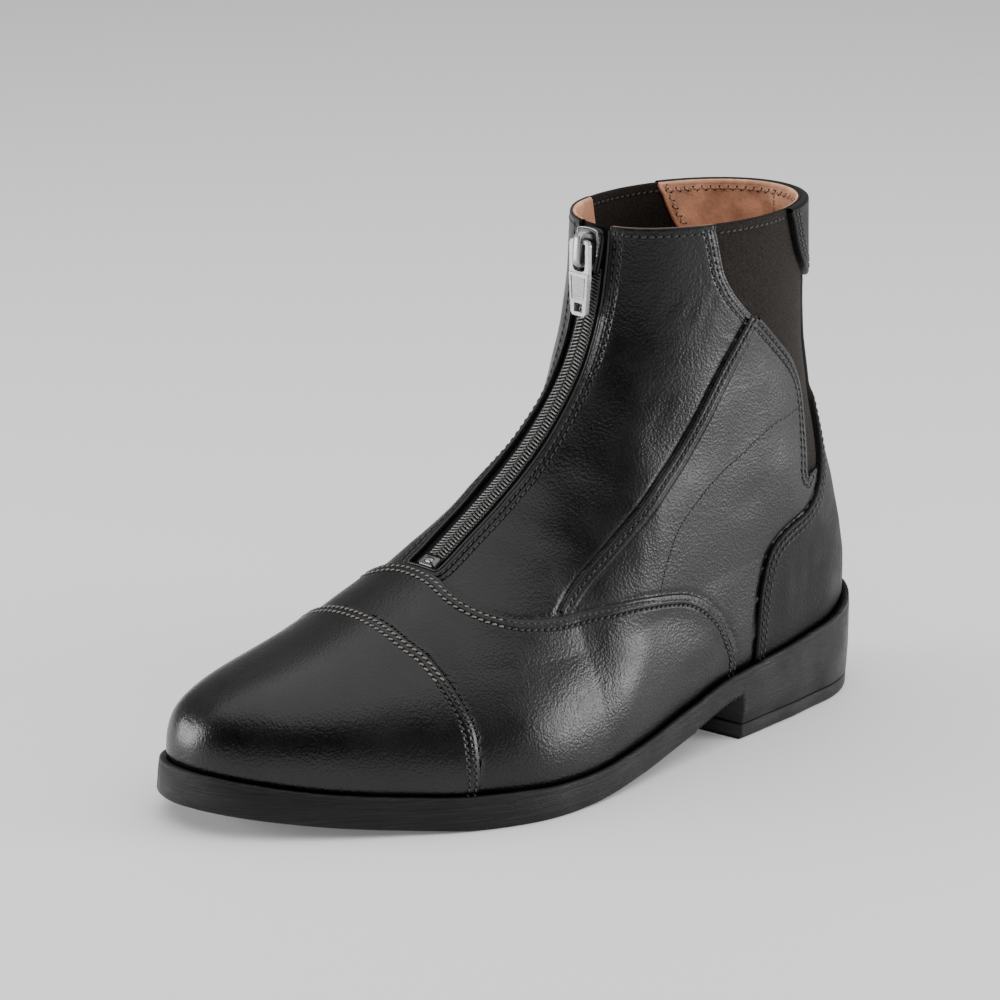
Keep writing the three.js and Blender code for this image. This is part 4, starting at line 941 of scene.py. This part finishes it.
# Counter with the strip up the back, and the tab over its top
A, T = clip(base, TRIS, ("d_counter", 1.2, True), ("tab", 3.0, False))
ridge = lambda A_: 0.25 * np.exp(-((col(A_, "d_counter") - 3.5) / 2.2) ** 2)
panel("counter_leather", A, T, 2.0, leather_counter, "leather", borders=[(counter_s, d_counter, -0.1, 2.08)],
      replaces=("counter",), attrs={"edge": edge_of("d_counter")}, lift=ridge)
rows_on(A, T, "d_counter", ROWS["counter"], 2.12, keep=lambda r: col(r, "tab") < -1)
A, T = clip(base, TRIS, ("d_tab", 1.2, True), (height, COLLAR - 1.2, False))
panel("back_tab_leather", A, T, 2.4, leather_counter, "leather", borders=[(tab_s, d_tab, 0.0, 2.4)],
      replaces=("back_tab",), attrs={"edge": edge_of("d_tab")})
rows_on(A, T, "d_tab", (2.3, 4.5), 2.4, keep=below_top)

# Front quarters: the upper's own face, open at the slot and at the elastic
A, T = clip(base, TRIS, ("gusset", -0.05, False), (near_only("d_front", -1), 1.2, True),
            ("d_slot", -1.2, False), ("vamp", 4.0, False), ("cap", -4.0, False), ("rear", 5.0, False),
            ("counter", 6.0, False),
            (height, COLLAR - 1.0, False))
panel("upper_leather", A, T, 0.0, leather_leg, "leather",
      borders=[(front_s, -d_front, -1.2, 0.12), (slot_s, -d_slot, -1.4, 0.2)],
      replaces=("upper",), attrs={"edge": edge_of("d_front", "d_slot")})
rows_on(A, T, "d_front", (-2.3, -4.6), 0.0, keep=below_top)
rows_on(A, T, "d_slot", (-2.4, -4.5), 0.0, keep=below_top, slant=0.25)
# A thin bead along each slot edge, coloured lighter than the black leather: painted highlight along the
# facing's rim
bead = [(0.36 * math.cos(g), 0.12 + 0.36 * math.sin(g)) for g in np.linspace(0, 2 * math.pi, 9)]
make("facing_edge", *join([sweep(line, -d_slot, bead) for line in slot_s]), facing_highlight_mat, "leather")
free_collar = lambda r: (col(r, "gusset") < -5.5) & (col(r, "d_slot") < -5.5) & (col(r, "tab") < -1)
sew(found(A, T, A[:, 2], COLLAR - 3.0, free_collar), 0.0)

# Elastic, outside and inside, with a hem along the top
for side_, label in ((1, "left"), (-1, "right")):
    A, T = clip(base, TRIS, ("gusset", -3.0, True), (height, COLLAR - 0.6, False))
    A, T = compact(A, T[side_ * (A[T].mean(1)[:, 0] + 1.5) > 0])
    hem = smooth(COLLAR - 3.4, COLLAR - 2.7, A[:, 2]) - 0.6 * np.exp(-((A[:, 2] - COLLAR + 3.6) / 0.5) ** 2)
    outer = A[:, :3] + A[:, 3:6] * (-0.45 + 0.3 * hem)[:, None]
    inner = A[:, :3] + A[:, 3:6] * (-1.65 - 0.3 * hem)[:, None]
    make("elastic_" + label, *join([(outer, T), (inner, T[:, ::-1])]), elastic_mat, "elastic",
         replaces=("gusset_" + label,))

# Lining: inside the quarters and the tab, with a turned edge against the elastic
inner_side = lambda A_: np.maximum(-col(A_, "gusset"), col(A_, "tab") + 1.0)
base_lining = inner_side(base)
some_rows = np.append(np.arange(0, rows - 1, 2), rows - 1)
coarse = base.reshape(rows, cols, -1)[some_rows, ::2].reshape(-1, base.shape[1])
A, T = clip(coarse, grid_triangles(len(some_rows), cols // 2), (inner_side, 0.0, True), ("slot", -0.6, False),
            (height, COLLAR - 1.0, False))
crinkle = (np.sin(A[:, 2] * 1.2 + 3 * np.sin(A[:, 1] * 0.5)) + np.sin(A[:, 1] * 1.4 - A[:, 2] * 0.9))
front_part = smooth(30, 15, A[:, 1]) * smooth(150, 178, A[:, 2])
soft = 0.25 * np.sin(A[:, 1] * 0.35 + A[:, 0] * 0.3) * np.sin(A[:, 2] * 0.25)
inward_by = 2.2 + (crinkle * 0.35 * front_part + soft) * smooth(COLLAR - 1, COLLAR - 7, A[:, 2])
chunks = [(A[:, :3] - A[:, 3:6] * inward_by[:, None], T[:, ::-1])]
turned = [(-0.15, -1.4), (-0.3, -1.9), (-0.1, -2.35), (0.5, -2.5), (1.2, -2.3)]
in_leg = lambda r: (r[:, 2] > 80) & (r[:, 2] < COLLAR - 0.8)
for line in found(base, TRIS, base_lining, 0.0, in_leg, 0.8, least=12):
    line[:, FIELDS["relief"]] = 0
    chunks.append(sweep(line, base_lining, turned))
make("lining", *join(chunks), lining_mat, "insole")


def inside_out(line):
    line = line.copy()
    line[:, 3:6] *= -1
    line[:, FIELDS["relief"]] = 0
    return line


in_tab = lambda r: (col(r, "tab") > 1.0) & (r[:, 2] < COLLAR - 1.5)
round_tab = lambda r: (r[:, 2] > 100) & (r[:, 2] < COLLAR - 1.5)
seams_in = found(base, TRIS, col(base, "tab"), 1.4, round_tab)
seams_in += found(base, TRIS, base[:, 2], COLLAR - 3.4, in_tab)
sew(map(inside_out, seams_in), 2.35, tone="tan", zigzag=0.7, pitch=1.7, length=1.5)
centre_back = base.reshape(rows, cols, -1)[:, AROUND]
sew([inside_out(centre_back[(centre_back[:, 2] > 148) & (centre_back[:, 2] < COLLAR - 2)])], 2.35, tone="tan")


# Rolled top edges of the collar
def collar_roll(keep, outer, inner_, material, slot, name, top=1.25):
    chunks = []
    for line in found(base, TRIS, base[:, 2], COLLAR - 1.25, keep, 0.8, 1, 5):
        flat = line[:, 3:6].copy()
        flat[:, 2] = 0
        flat /= np.linalg.norm(flat, axis=1, keepdims=True)
        rings = []
        for g in np.linspace(-0.25, math.pi + 0.25, 11):
            pt = line[:, :3] + flat * ((outer + inner_) / 2 + (outer - inner_) / 2 * math.cos(g))
            pt[:, 2] += top * np.sign(math.sin(g)) * abs(math.sin(g)) ** 0.8
            rings.append(pt)
        chunks.append((np.stack(rings, 1).reshape(-1, 3), strip_faces(len(line), len(rings))))
    make(name, *join(chunks), material, slot)


collar_roll(lambda r: (col(r, "gusset") < 0.3) & (col(r, "d_slot") < -0.2) & (col(r, "tab") < 0), 0.1, -1.2,
            leather_leg, "leather", "collar_roll_front")
collar_roll(lambda r: (col(r, "gusset") > -0.8), -0.15, -1.95, elastic_mat, "elastic", "collar_roll_elastic",
            1.15)
collar_roll(lambda r: (col(r, "tab") > 0), 2.42, -0.9, leather_counter, "leather", "collar_roll_tab")
collar_roll(lambda r: (inner_side(r) > 0) & (col(r, "d_slot") < -0.2), -0.8, -2.35, lining_mat, "insole",
            "collar_roll_lining", 1.05)
hem_at = lambda r: (col(r, "gusset") > 0.5) & (col(r, "tab") < -1)
hem = found(base, TRIS, base[:, 2], COLLAR - 3.3, hem_at)
for line in hem:
    line[:, FIELDS["relief"]] = 0
sew(hem, -0.42)
sew([inside_out(l_) for l_ in hem], 1.72)

# Closed seam on the rear quarters
for side_ in (1, -1):
    half_ = np.nonzero((side_ * P[:, 0] > 0) & (P[:, 1] > -10) & (P[:, 2] > 40) & (P[:, 2] < 140))[0]
    line = np.array([base[half_[np.argmin(np.hypot(*(YZ[half_] - q).T))]]
                     for q in resample(closed_l, step=1.0)])
    sew([tidy_line(line, 1.2, 6)], 0.9, pitch=2.6, length=1.9, width=0.24, height=0.2)

# The grey stitches are black thread painted lighter: painted highlight
for name, key, material, slot in (("stitches_black", "black", thread_mat, "tape"),
                                  ("stitches_painted_highlight", "painted_highlight", thread_painted_highlight_mat, "tape"),
                                  ("stitches_tan", "tan", tan_mat, "insole"),
                                  ("needle_holes", "holes", hole_painted_shade_mat, "leather")):
    make(name, *join(threads[key]), material, slot)

# Zip
A, T = clip(base, TRIS, ("slot", -3.5, True), (height, COLLAR - 0.5, False))
make("zip_tape_cloth", A[:, :3] - 1.7 * A[:, 3:6], T, tape_mat, "tape", replaces=("zip_tape",))


def crest_at(run):
    return np.array([float(on_crest("run", run, k)) for k in ("x", "y", "z")])


def crest_frame(run):
    t = crest_at(run + 1) - crest_at(run - 1)
    t[0] = 0
    t /= np.linalg.norm(t)
    return crest_at(run), t, np.array([0, -t[2], t[1]])


def tube(points, radius, across, ring=8, wide=1.0):
    """A round bar through points, closed at both ends. across: one fixed side direction."""
    points = np.asarray(points, float)
    radius = np.broadcast_to(radius, len(points))
    t = np.gradient(points, axis=0)
    t /= np.linalg.norm(t, axis=1, keepdims=True)
    n = np.cross(t, across)
    n /= np.linalg.norm(n, axis=1, keepdims=True)
    b = np.cross(n, t)
    ang = np.arange(ring) * 2 * np.pi / ring
    v = (points[:, None] + radius[:, None, None] * (np.cos(ang)[None, :, None] * b[:, None] * wide
                                                    + np.sin(ang)[None, :, None] * n[:, None])).reshape(-1, 3)
    return v, ring_faces(len(points), ring) + end_faces(len(points), ring)


ZIP_X, CHAIN_LOW = 1.0, -1.1


def chain_point(run, x_, out_):
    o_, t_, n_ = crest_frame(run)
    return o_ + np.array([x_ + ZIP_X, 0, 0]) + n_ * (out_ + CHAIN_LOW)


slider_top = float(on_crest("z", COLLAR - 1.5, "run"))
chain_start, chain_end = slot_run0 + 5.5, slider_top - 13.5
chunks = []
for sgn in (1, -1):
    runs = np.arange(chain_start - 0.5, chain_end, 1.0)
    chunks.append(tube([chain_point(r, sgn * 3.6, -0.1) for r in runs], 0.3, (1, 0, 0), 8))
    for run in np.arange(chain_start + (0.0 if sgn > 0 else 0.62), chain_end, 1.24):
        pts = [chain_point(run + dr, sgn * x_, out_) for dr, x_, out_ in
               ((-0.6, 3.8, 0.05), (-0.5, 3.3, 0.5), (-0.15, 2.1, 0.42), (0.25, 0.7, 0.62), (0.4, -0.1, 0.4))]
        chunks.append(tube(pts, [0.3, 0.46, 0.3, 0.46, 0.3], (0, 0.5, 0.8), 7))
make("zip_coil_chain", *join(chunks), coil_mat, "chain", replaces=("zip_teeth",))


def plate(frame_at, outline, layers):
    """A plate from one outline: layers are (inset, height), from its back up to its face."""
    outline = np.asarray(outline, float)
    o_, x_, y_, z_ = frame_at
    t = np.roll(outline, -1, 0) - np.roll(outline, 1, 0)
    t /= np.linalg.norm(t, axis=1, keepdims=True)
    side = np.stack([-t[:, 1], t[:, 0]], 1)
    side *= -np.sign(((outline - outline.mean(0)) * side).sum())
    rings = []
    for inset, high in layers:
        q = outline + side * inset
        rings.append(o_ + q[:, :1] * x_ + q[:, 1:] * y_ + high * z_)
    m = len(outline)
    return np.vstack(rings), ring_faces(len(layers), m) + end_faces(len(layers), m)


def mirrored(points):
    return list(points) + [(-x_, y_) for x_, y_ in reversed(points)]


def round_outline(points, per=7):
    pts = np.asarray(points, float)
    out = []
    for i in range(len(pts)):
        p0, p1, p2, p3 = (pts[(i + k) % len(pts)] for k in (-1, 0, 1, 2))
        for t in np.linspace(0, 1, per, endpoint=False):
            out.append(0.5 * (2 * p1 + (p2 - p0) * t + (2 * p0 - 5 * p1 + 4 * p2 - p3) * t**2
                              + (3 * p1 - p0 - 3 * p2 + p3) * t**3))
    return np.array(out)


# Bottom stop
X, Z, FACING = np.eye(3)[0], np.eye(3)[2], -np.eye(3)[1]
o_, t_, n_ = crest_frame(slot_run0 + 3.3)
o_ = o_ + ZIP_X * X - 0.8 * n_
box = round_outline(mirrored([(3.5, -2.4), (3.9, -2.1), (3.9, 1.9), (3.5, 2.3)]), 3)
make("zip_bottom_stop", *plate((o_, X, t_, n_), box, [(0, -0.8), (0, 0.5), (0.15, 0.85), (0.5, 1.0)]),
     coil_mat, "chain")
make("zip_stop_rivet", *plate((o_, X, t_, n_), box * 0.42, [(0, 0.8), (0.1, 1.15), (0.4, 1.25)]),
     metal_mat, "zip_metal")

# Slider: enamelled body with a metal edge, and its crown, in the slider's own frame
FACE = 3.2
top_o = crest_at(slider_top) + ZIP_X * X
down = crest_at(slider_top - 15) - top_o
down[0] = 0
down /= np.linalg.norm(down)
out_dir = np.array([0, down[2], -down[1]])
shield = round_outline(mirrored([(4.0, 0.0), (5.7, 3.2), (5.2, 9.0), (4.2, 14.6), (3.6, 15.0)]), 4)
slider_layers = [(0.3, -0.1), (0, 0.3), (0, 1.1), (0.25, 1.3), (0.25, 1.6), (0, 1.8), (0, FACE - 0.5),
                 (0.2, FACE - 0.15), (0.7, FACE)]
make("zip_slider_body", *plate((top_o, X, down, out_dir), shield, slider_layers), enamel_mat, "zip_metal",
     replaces=("zip_slider",))
upper_rim = shield[shield[:, 1] < 9.2]
upper_rim = upper_rim[np.argsort(upper_rim[:, 0])]
upper_rim = [top_o + q[0] * 0.97 * X + (q[1] + 0.1) * down + (FACE - 0.15) * out_dir for q in upper_rim]
make("zip_slider_edge", *tube(upper_rim, 0.22, out_dir, 6), metal_mat, "zip_metal")
arch = [(1.2, -0.5), (1.2, 2.4), (1.6, 3.9), (2.8, 4.7), (5.0, 4.8), (8.5, 4.8), (11.2, 4.7), (12.4, 3.9),
        (12.8, 2.4), (12.8, -0.5)]
arch = resample(np.array([top_o + a_ * down + (FACE + h_) * out_dir for a_, h_ in arch]), step=0.7)
make("zip_crown", *tube(arch, 0.62, X, 14, wide=2.7), metal_mat, "zip_metal")

# Pull: a frame round the crown and a plate with a raised rim, a bare panel and a small hole
pivot = top_o + 4.2 * down + (FACE + 3.0) * out_dir


def even(points):
    points = np.array(points, float)
    return resample(np.vstack([points, points[:1]]), count=113)[:-1]


def ring_plate(outer_, inner_, layers):
    """A plate with one hole. Layers are (inset, height)."""
    outer_, inner_ = even(outer_), even(inner_)
    c = inner_.mean(0)
    at_in, at_out = (np.arctan2(q[:, 0] - c[0], q[:, 1] - c[1]) for q in (inner_, outer_))
    inner_ = inner_[[np.argmin(np.abs(np.angle(np.exp(1j * (at_in - a_))))) for a_ in at_out]]
    loops = []
    for line, sgn in ((outer_, -1), (inner_, 1)):
        away = line - c
        away = away / np.abs(away).max(0)
        rings = [line + sgn * inset * np.sign(away) * np.abs(away) ** 3 for inset, _ in layers]
        rings = [pivot + q[:, :1] * X + q[:, 1:] * Z + high * FACING for q, (_, high) in zip(rings, layers)]
        loops += rings if sgn < 0 else rings[::-1]
    return np.vstack(loops), ring_faces(len(loops), len(outer_), closed=True)


PLATE = [(0.14, -0.75), (0, -0.6), (0, 0.6), (0.15, 0.75)]
window = mirrored([(2.9, -0.8), (2.9, -9.0), (2.3, -10.2), (1.2, -10.5)])
frame_line = mirrored([(2.95, 0.75), (4.2, 0.35), (4.75, -1.05), (4.75, -11.5)])
plate_line = mirrored([(4.75, -11.4), (4.7, -13.0), (4.3, -17.5), (3.75, -25.25), (2.75, -26.25)])
hole = mirrored([(1.9, -21.7), (1.9, -24.7)])
make("zip_pull_plate", *join([ring_plate(frame_line, window, PLATE), ring_plate(plate_line, hole, PLATE)]),
     metal_mat, "zip_metal", body="pull", replaces=("zip_pull",), smooth_shade=False)
RIM = [(0, 0.6), (0, 0.95), (0.15, 1.1)]
v, f = join([ring_plate(mirrored([(4.6, -11.0), (4.55, -13.0), (4.15, -17.5), (4.0, -21.1)]),
                        mirrored([(3.6, -12.1), (3.3, -17.5), (3.15, -20.2)]), RIM),
             ring_plate(mirrored([(3.97, -21.0), (3.65, -25.1), (2.85, -26.05)]),
                        hole, RIM)])
make("zip_pull_rim", v, f, metal_mat, "zip_metal", body="pull", smooth_shade=False)
bare = mirrored([(2.95, -12.7), (2.6, -19.7)])
make("zip_pull_panel", *plate((pivot, X, Z, FACING), bare, [(0, 0.5), (0, 0.85), (0.15, 0.95)]),
     recess_mat, "zip_metal", body="pull", smooth_shade=False)


# Sole
breast_y = y_of(BREAST_AT)
breast_x = float(plan_half(BREAST_AT) + middle(BREAST_AT))


def behind_breast(turn):
    x_, y_ = plan_point(np.array(turn), 0.0)
    return float(y_ - (breast_y + (x_ - breast_x) * math.tan(BREAST_TURN)))


def breast_turn(low, high):
    for _ in range(40):
        half_ = (low + high) / 2
        if behind_breast(half_) < 0:
            low = half_
        else:
            high = half_
    return (low + high) / 2


outer_turn, inner_turn = breast_turn(0.1, 0.5), breast_turn(0.9, 0.5)


def even_turns(t0, t1, step):
    """Turns in even steps of the outline's length."""
    t = np.linspace(t0, t1, 2000)
    x_, y_ = plan_point(t, 0.0)
    run = np.concatenate([[0], np.cumsum(np.hypot(np.diff(x_), np.diff(y_)))])
    return np.interp(np.linspace(0, run[-1], int(run[-1] / step) + 1), run, t), run[-1]


RIB_ZONE = RIB_COUNT * RIB_PITCH
PLAIN_STEPS, RIB_STEPS = 130, 6


def fore_turns(t_breast, t_toe):
    t, length = even_turns(t_toe, t_breast, 0.05)
    n = len(t)
    k = int((length - RIB_ZONE) / length * (n - 1))
    far = np.interp(np.linspace(0, k, PLAIN_STEPS), np.arange(n), t)
    near_ = np.interp(np.linspace(k, n - 1, RIB_COUNT * RIB_STEPS + 1), np.arange(n), t)
    return np.concatenate([far, near_[1:]])


fore_out, fore_in = fore_turns(outer_turn, 0.0), fore_turns(inner_turn, 1.0)
fore_n = len(fore_out)
rib_phase = np.concatenate([np.zeros(PLAIN_STEPS), np.linspace(RIB_COUNT, 0, RIB_COUNT * RIB_STEPS + 1)[1:]])
rib_drop = np.where(np.arange(fore_n) >= PLAIN_STEPS, RIB_DEPTH * (1 - (rib_phase % 1.0)), 0.0)
heel_turns = even_turns(outer_turn, inner_turn, 1.6)[0]
all_turns = np.concatenate([fore_out, heel_turns[1:-1], fore_in[::-1][:-1]])
rib_all = np.concatenate([rib_drop, np.zeros(len(heel_turns) - 2), rib_drop[::-1][:-1]])
in_heel = np.concatenate([np.zeros(fore_n - 1, bool), np.ones(len(heel_turns), bool),
                          np.zeros(fore_n - 2, bool)])
flare = TOE_FLARE * smooth(0.25, 0, np.minimum(all_turns, 1 - all_turns))


def side_ring(inset, height, flared=0.0):
    x_, y_ = plan_point(all_turns, inset - flared * flare)
    return np.stack([x_, y_, height(clamp(along_of(y_)))], 1)


def low_edge(lift_):
    return lambda s: underside(s) + rib_all + np.where(in_heel, 0.0, lift_)


side_rows = [
    side_ring(0.75, lambda s: underside(s) + rib_all, 1.0),
    side_ring(0.22, low_edge(0.25), 1.0),
    side_ring(0.0, low_edge(0.85), 1.0),
    side_ring(0.02, lambda s: mix(underside(s), rim(s), 0.3), 0.8),
    side_ring(0.0, lambda s: mix(underside(s), rim(s), 0.55), 0.6),
]
# The lip with a groove under it, and the seat: inset, depth below the rim, flare
LIP_ROWS = [(0.02, 2.6, 0.35), (0.16, 2.25, 0.3), (0.1, 1.9, 0.3), (0.12, 1.0, 0.25), (0.3, 0.4, 0.2),
            (0.65, 0.08, 0.1), (1.0, 0, 0), (1.8, 0.1, 0), (2.5, 0.6, 0), (3.2, LIP_HEIGHT + 0.1, 0),
            (9.0, LIP_HEIGHT + 0.1, 0)]
for inset, depth, flared in LIP_ROWS:
    side_rows.append(side_ring(inset, lambda s: rim(s) - depth, flared))
side_rows[0][in_heel] = side_rows[2][in_heel]
side_rows[1][in_heel] = side_rows[2][in_heel]
m = len(all_turns)
heel_side = in_heel & np.roll(in_heel, -1)
faces = [f_ for i, f_ in enumerate(ring_faces(len(side_rows), m)) if i >= 2 * m or not heel_side[i % m]]
# Underside of the forepart, a ladder from the toe to the breast
for i in range(fore_n - 1):
    faces.append(tuple(dict.fromkeys((i, (m - i) % m, m - i - 1, i + 1))))


def heel_ring(inset, z_):
    x_, y_ = plan_point(heel_turns, inset)
    return np.stack([x_, y_, np.full(len(x_), z_)], 1)


# Heel wall from the sole's side down to the lift
h_idx = np.nonzero(in_heel)[0]
heel_mid = heel_ring(0.1, 0.0)
heel_mid[:, 2] = mix(LIFT + GAP, underside(clamp(along_of(heel_mid[:, 1]))), 0.5)
n0, hn = m * len(side_rows), len(heel_turns)
verts = np.vstack(side_rows + [heel_mid, heel_ring(0.55, LIFT + 0.55), heel_ring(1.0, LIFT + 0.25)])
for j in range(hn - 1):
    faces.append((n0 + j, n0 + j + 1, 2 * m + h_idx[j + 1], 2 * m + h_idx[j]))
    for r in range(2):
        faces.append((n0 + (r + 1) * hn + j, n0 + (r + 1) * hn + j + 1, n0 + r * hn + j + 1, n0 + r * hn + j))
# Breast wall
faces.append((2 * m + int(h_idx[0]), 2 * m + int(h_idx[-1]), n0 + hn - 1, n0))
faces.append((n0, n0 + hn - 1, n0 + 2 * hn - 1, n0 + hn))
faces = [tuple(int(x) for x in f_) for f_ in faces]
make("unit_sole", verts, faces, sole_mat, "sole_rubber", replaces=("outsole", "heel_block"))

lift_rows = [heel_ring(1.6, 0.0), heel_ring(0.95, 0.35), heel_ring(0.7, 1.1), heel_ring(0.62, LIFT - 0.4),
             heel_ring(0.9, LIFT - 0.05), heel_ring(1.3, LIFT + 0.15)]
faces = ring_faces(len(lift_rows), hn)
lift_top = hn * (len(lift_rows) - 1)
for j in range(hn // 2 - 1):
    a_, b_, c_, d_ = j, j + 1, hn - 2 - j, hn - 1 - j
    faces += [(a_, d_, c_, b_), (lift_top + a_, lift_top + b_, lift_top + c_, lift_top + d_)]
make("heel_lift_rubber", np.vstack(lift_rows), faces, sole_mat, "sole_rubber", replaces=("heel_lift",))

# Insole
inset = SOLE_EDGE + WALL + 1
turns_i = even_turns(0.0, 0.9999, 2.0)[0]
x_, y_ = plan_point(turns_i, inset)
z_ = seat(clamp(along_of(y_))) + GAP
n_ = len(x_)
verts = np.vstack([np.stack([x_, y_, z_], 1), np.stack([x_, y_, z_ + INSOLE_THICK], 1)])
faces = ring_faces(2, n_)
for j in range(n_ // 2 - 1):
    a_, b_, c_, d_ = j, j + 1, (n_ - j - 1) % n_, (n_ - j) % n_
    quad = tuple(dict.fromkeys((n_ + a_, n_ + b_, n_ + c_, n_ + d_)))
    if len(quad) >= 3:
        faces.append(quad)
make("insole_leather", verts, faces, lining_mat, "insole", replaces=("insole",))

# Camera, light and floor
AZ, EL, DIST, TX, TY = math.radians(46.24), math.radians(16.79), 1400.0, 18.6, -89.0
d_ = np.array([-math.sin(AZ) * math.cos(EL), math.cos(AZ) * math.cos(EL), -math.sin(EL)])
right_ = np.array([math.cos(AZ), math.sin(AZ), 0.0])
up_ = np.cross(right_, d_)
place = (-TX * right_ - TY * up_ - DIST * d_ + SHIFT) * 0.001
cam = bpy.data.cameras.new("camera")
cam.sensor_width = 36.0
cam.lens = 36.0 * 2.828 * 1.4
cam.clip_start, cam.clip_end = 0.05, 20.0
cam_o = put("camera", cam)
cam_o.matrix_world = Matrix([[*r] for r in np.column_stack([right_, up_, -d_]).tolist()]).to_4x4()
cam_o.location = place.tolist()
bpy.context.scene.camera = cam_o

floor_me = bpy.data.meshes.new("floor")
floor_me.from_pydata([(-7, -7, 0), (7, -7, 0), (7, 7, 0), (-7, 7, 0)], [], [(0, 1, 2, 3)])
floor_mat, _, fp_ = shader("floor", (0.95, 0.95, 0.95), 0.85, spec=0.1)
fp_.inputs["Emission Color"].default_value = (1, 1, 1, 1)
fp_.inputs["Emission Strength"].default_value = 0.12
floor_me.materials.append(floor_mat)
put("floor", floor_me)

# Studio: a dim room, dark in front of the toe, fixed by direction
world = bpy.data.worlds.new("studio")
world.use_nodes = True
tw = world.node_tree
way = node(tw, "ShaderNodeTexCoord")
dot = node(tw, "ShaderNodeVectorMath", operation="DOT_PRODUCT")
dot.inputs[1].default_value = (0.17, -0.47, 0.0)
tw.links.new(way.outputs["Generated"], dot.inputs[0])
half = node(tw, "ShaderNodeMath", operation="ADD")
half.inputs[1].default_value = 0.5
tw.links.new(dot.outputs["Value"], half.inputs[0])
tw.links.new(ramp(tw, half.outputs[0], [(0.5, 0.34), (0.72, 0.3), (0.85, 0.08), (0.94, 0.01)]),
             tw.nodes["Background"].inputs["Color"])
tw.nodes["Background"].inputs["Strength"].default_value = 1.0
bpy.context.scene.world = world


def area(name, where, size, power):
    l_ = bpy.data.lights.new(name, "AREA")
    l_.shape = "RECTANGLE"
    l_.size, l_.size_y = size
    l_.energy = power
    o_ = put(name, l_)
    o_.location = where
    o_.rotation_euler = (Vector((0, 0, 0.08)) - Vector(where)).to_track_quat("-Z", "Y").to_euler()


area("left_front", (-0.79, -0.92, 0.235), (0.6, 0.44), 11)
area("right_back", (0.98, 0.83, 0.235), (0.62, 0.44), 12)
area("overhead", (0.15, 0.0, 1.5), (2.6, 2.6), 31)
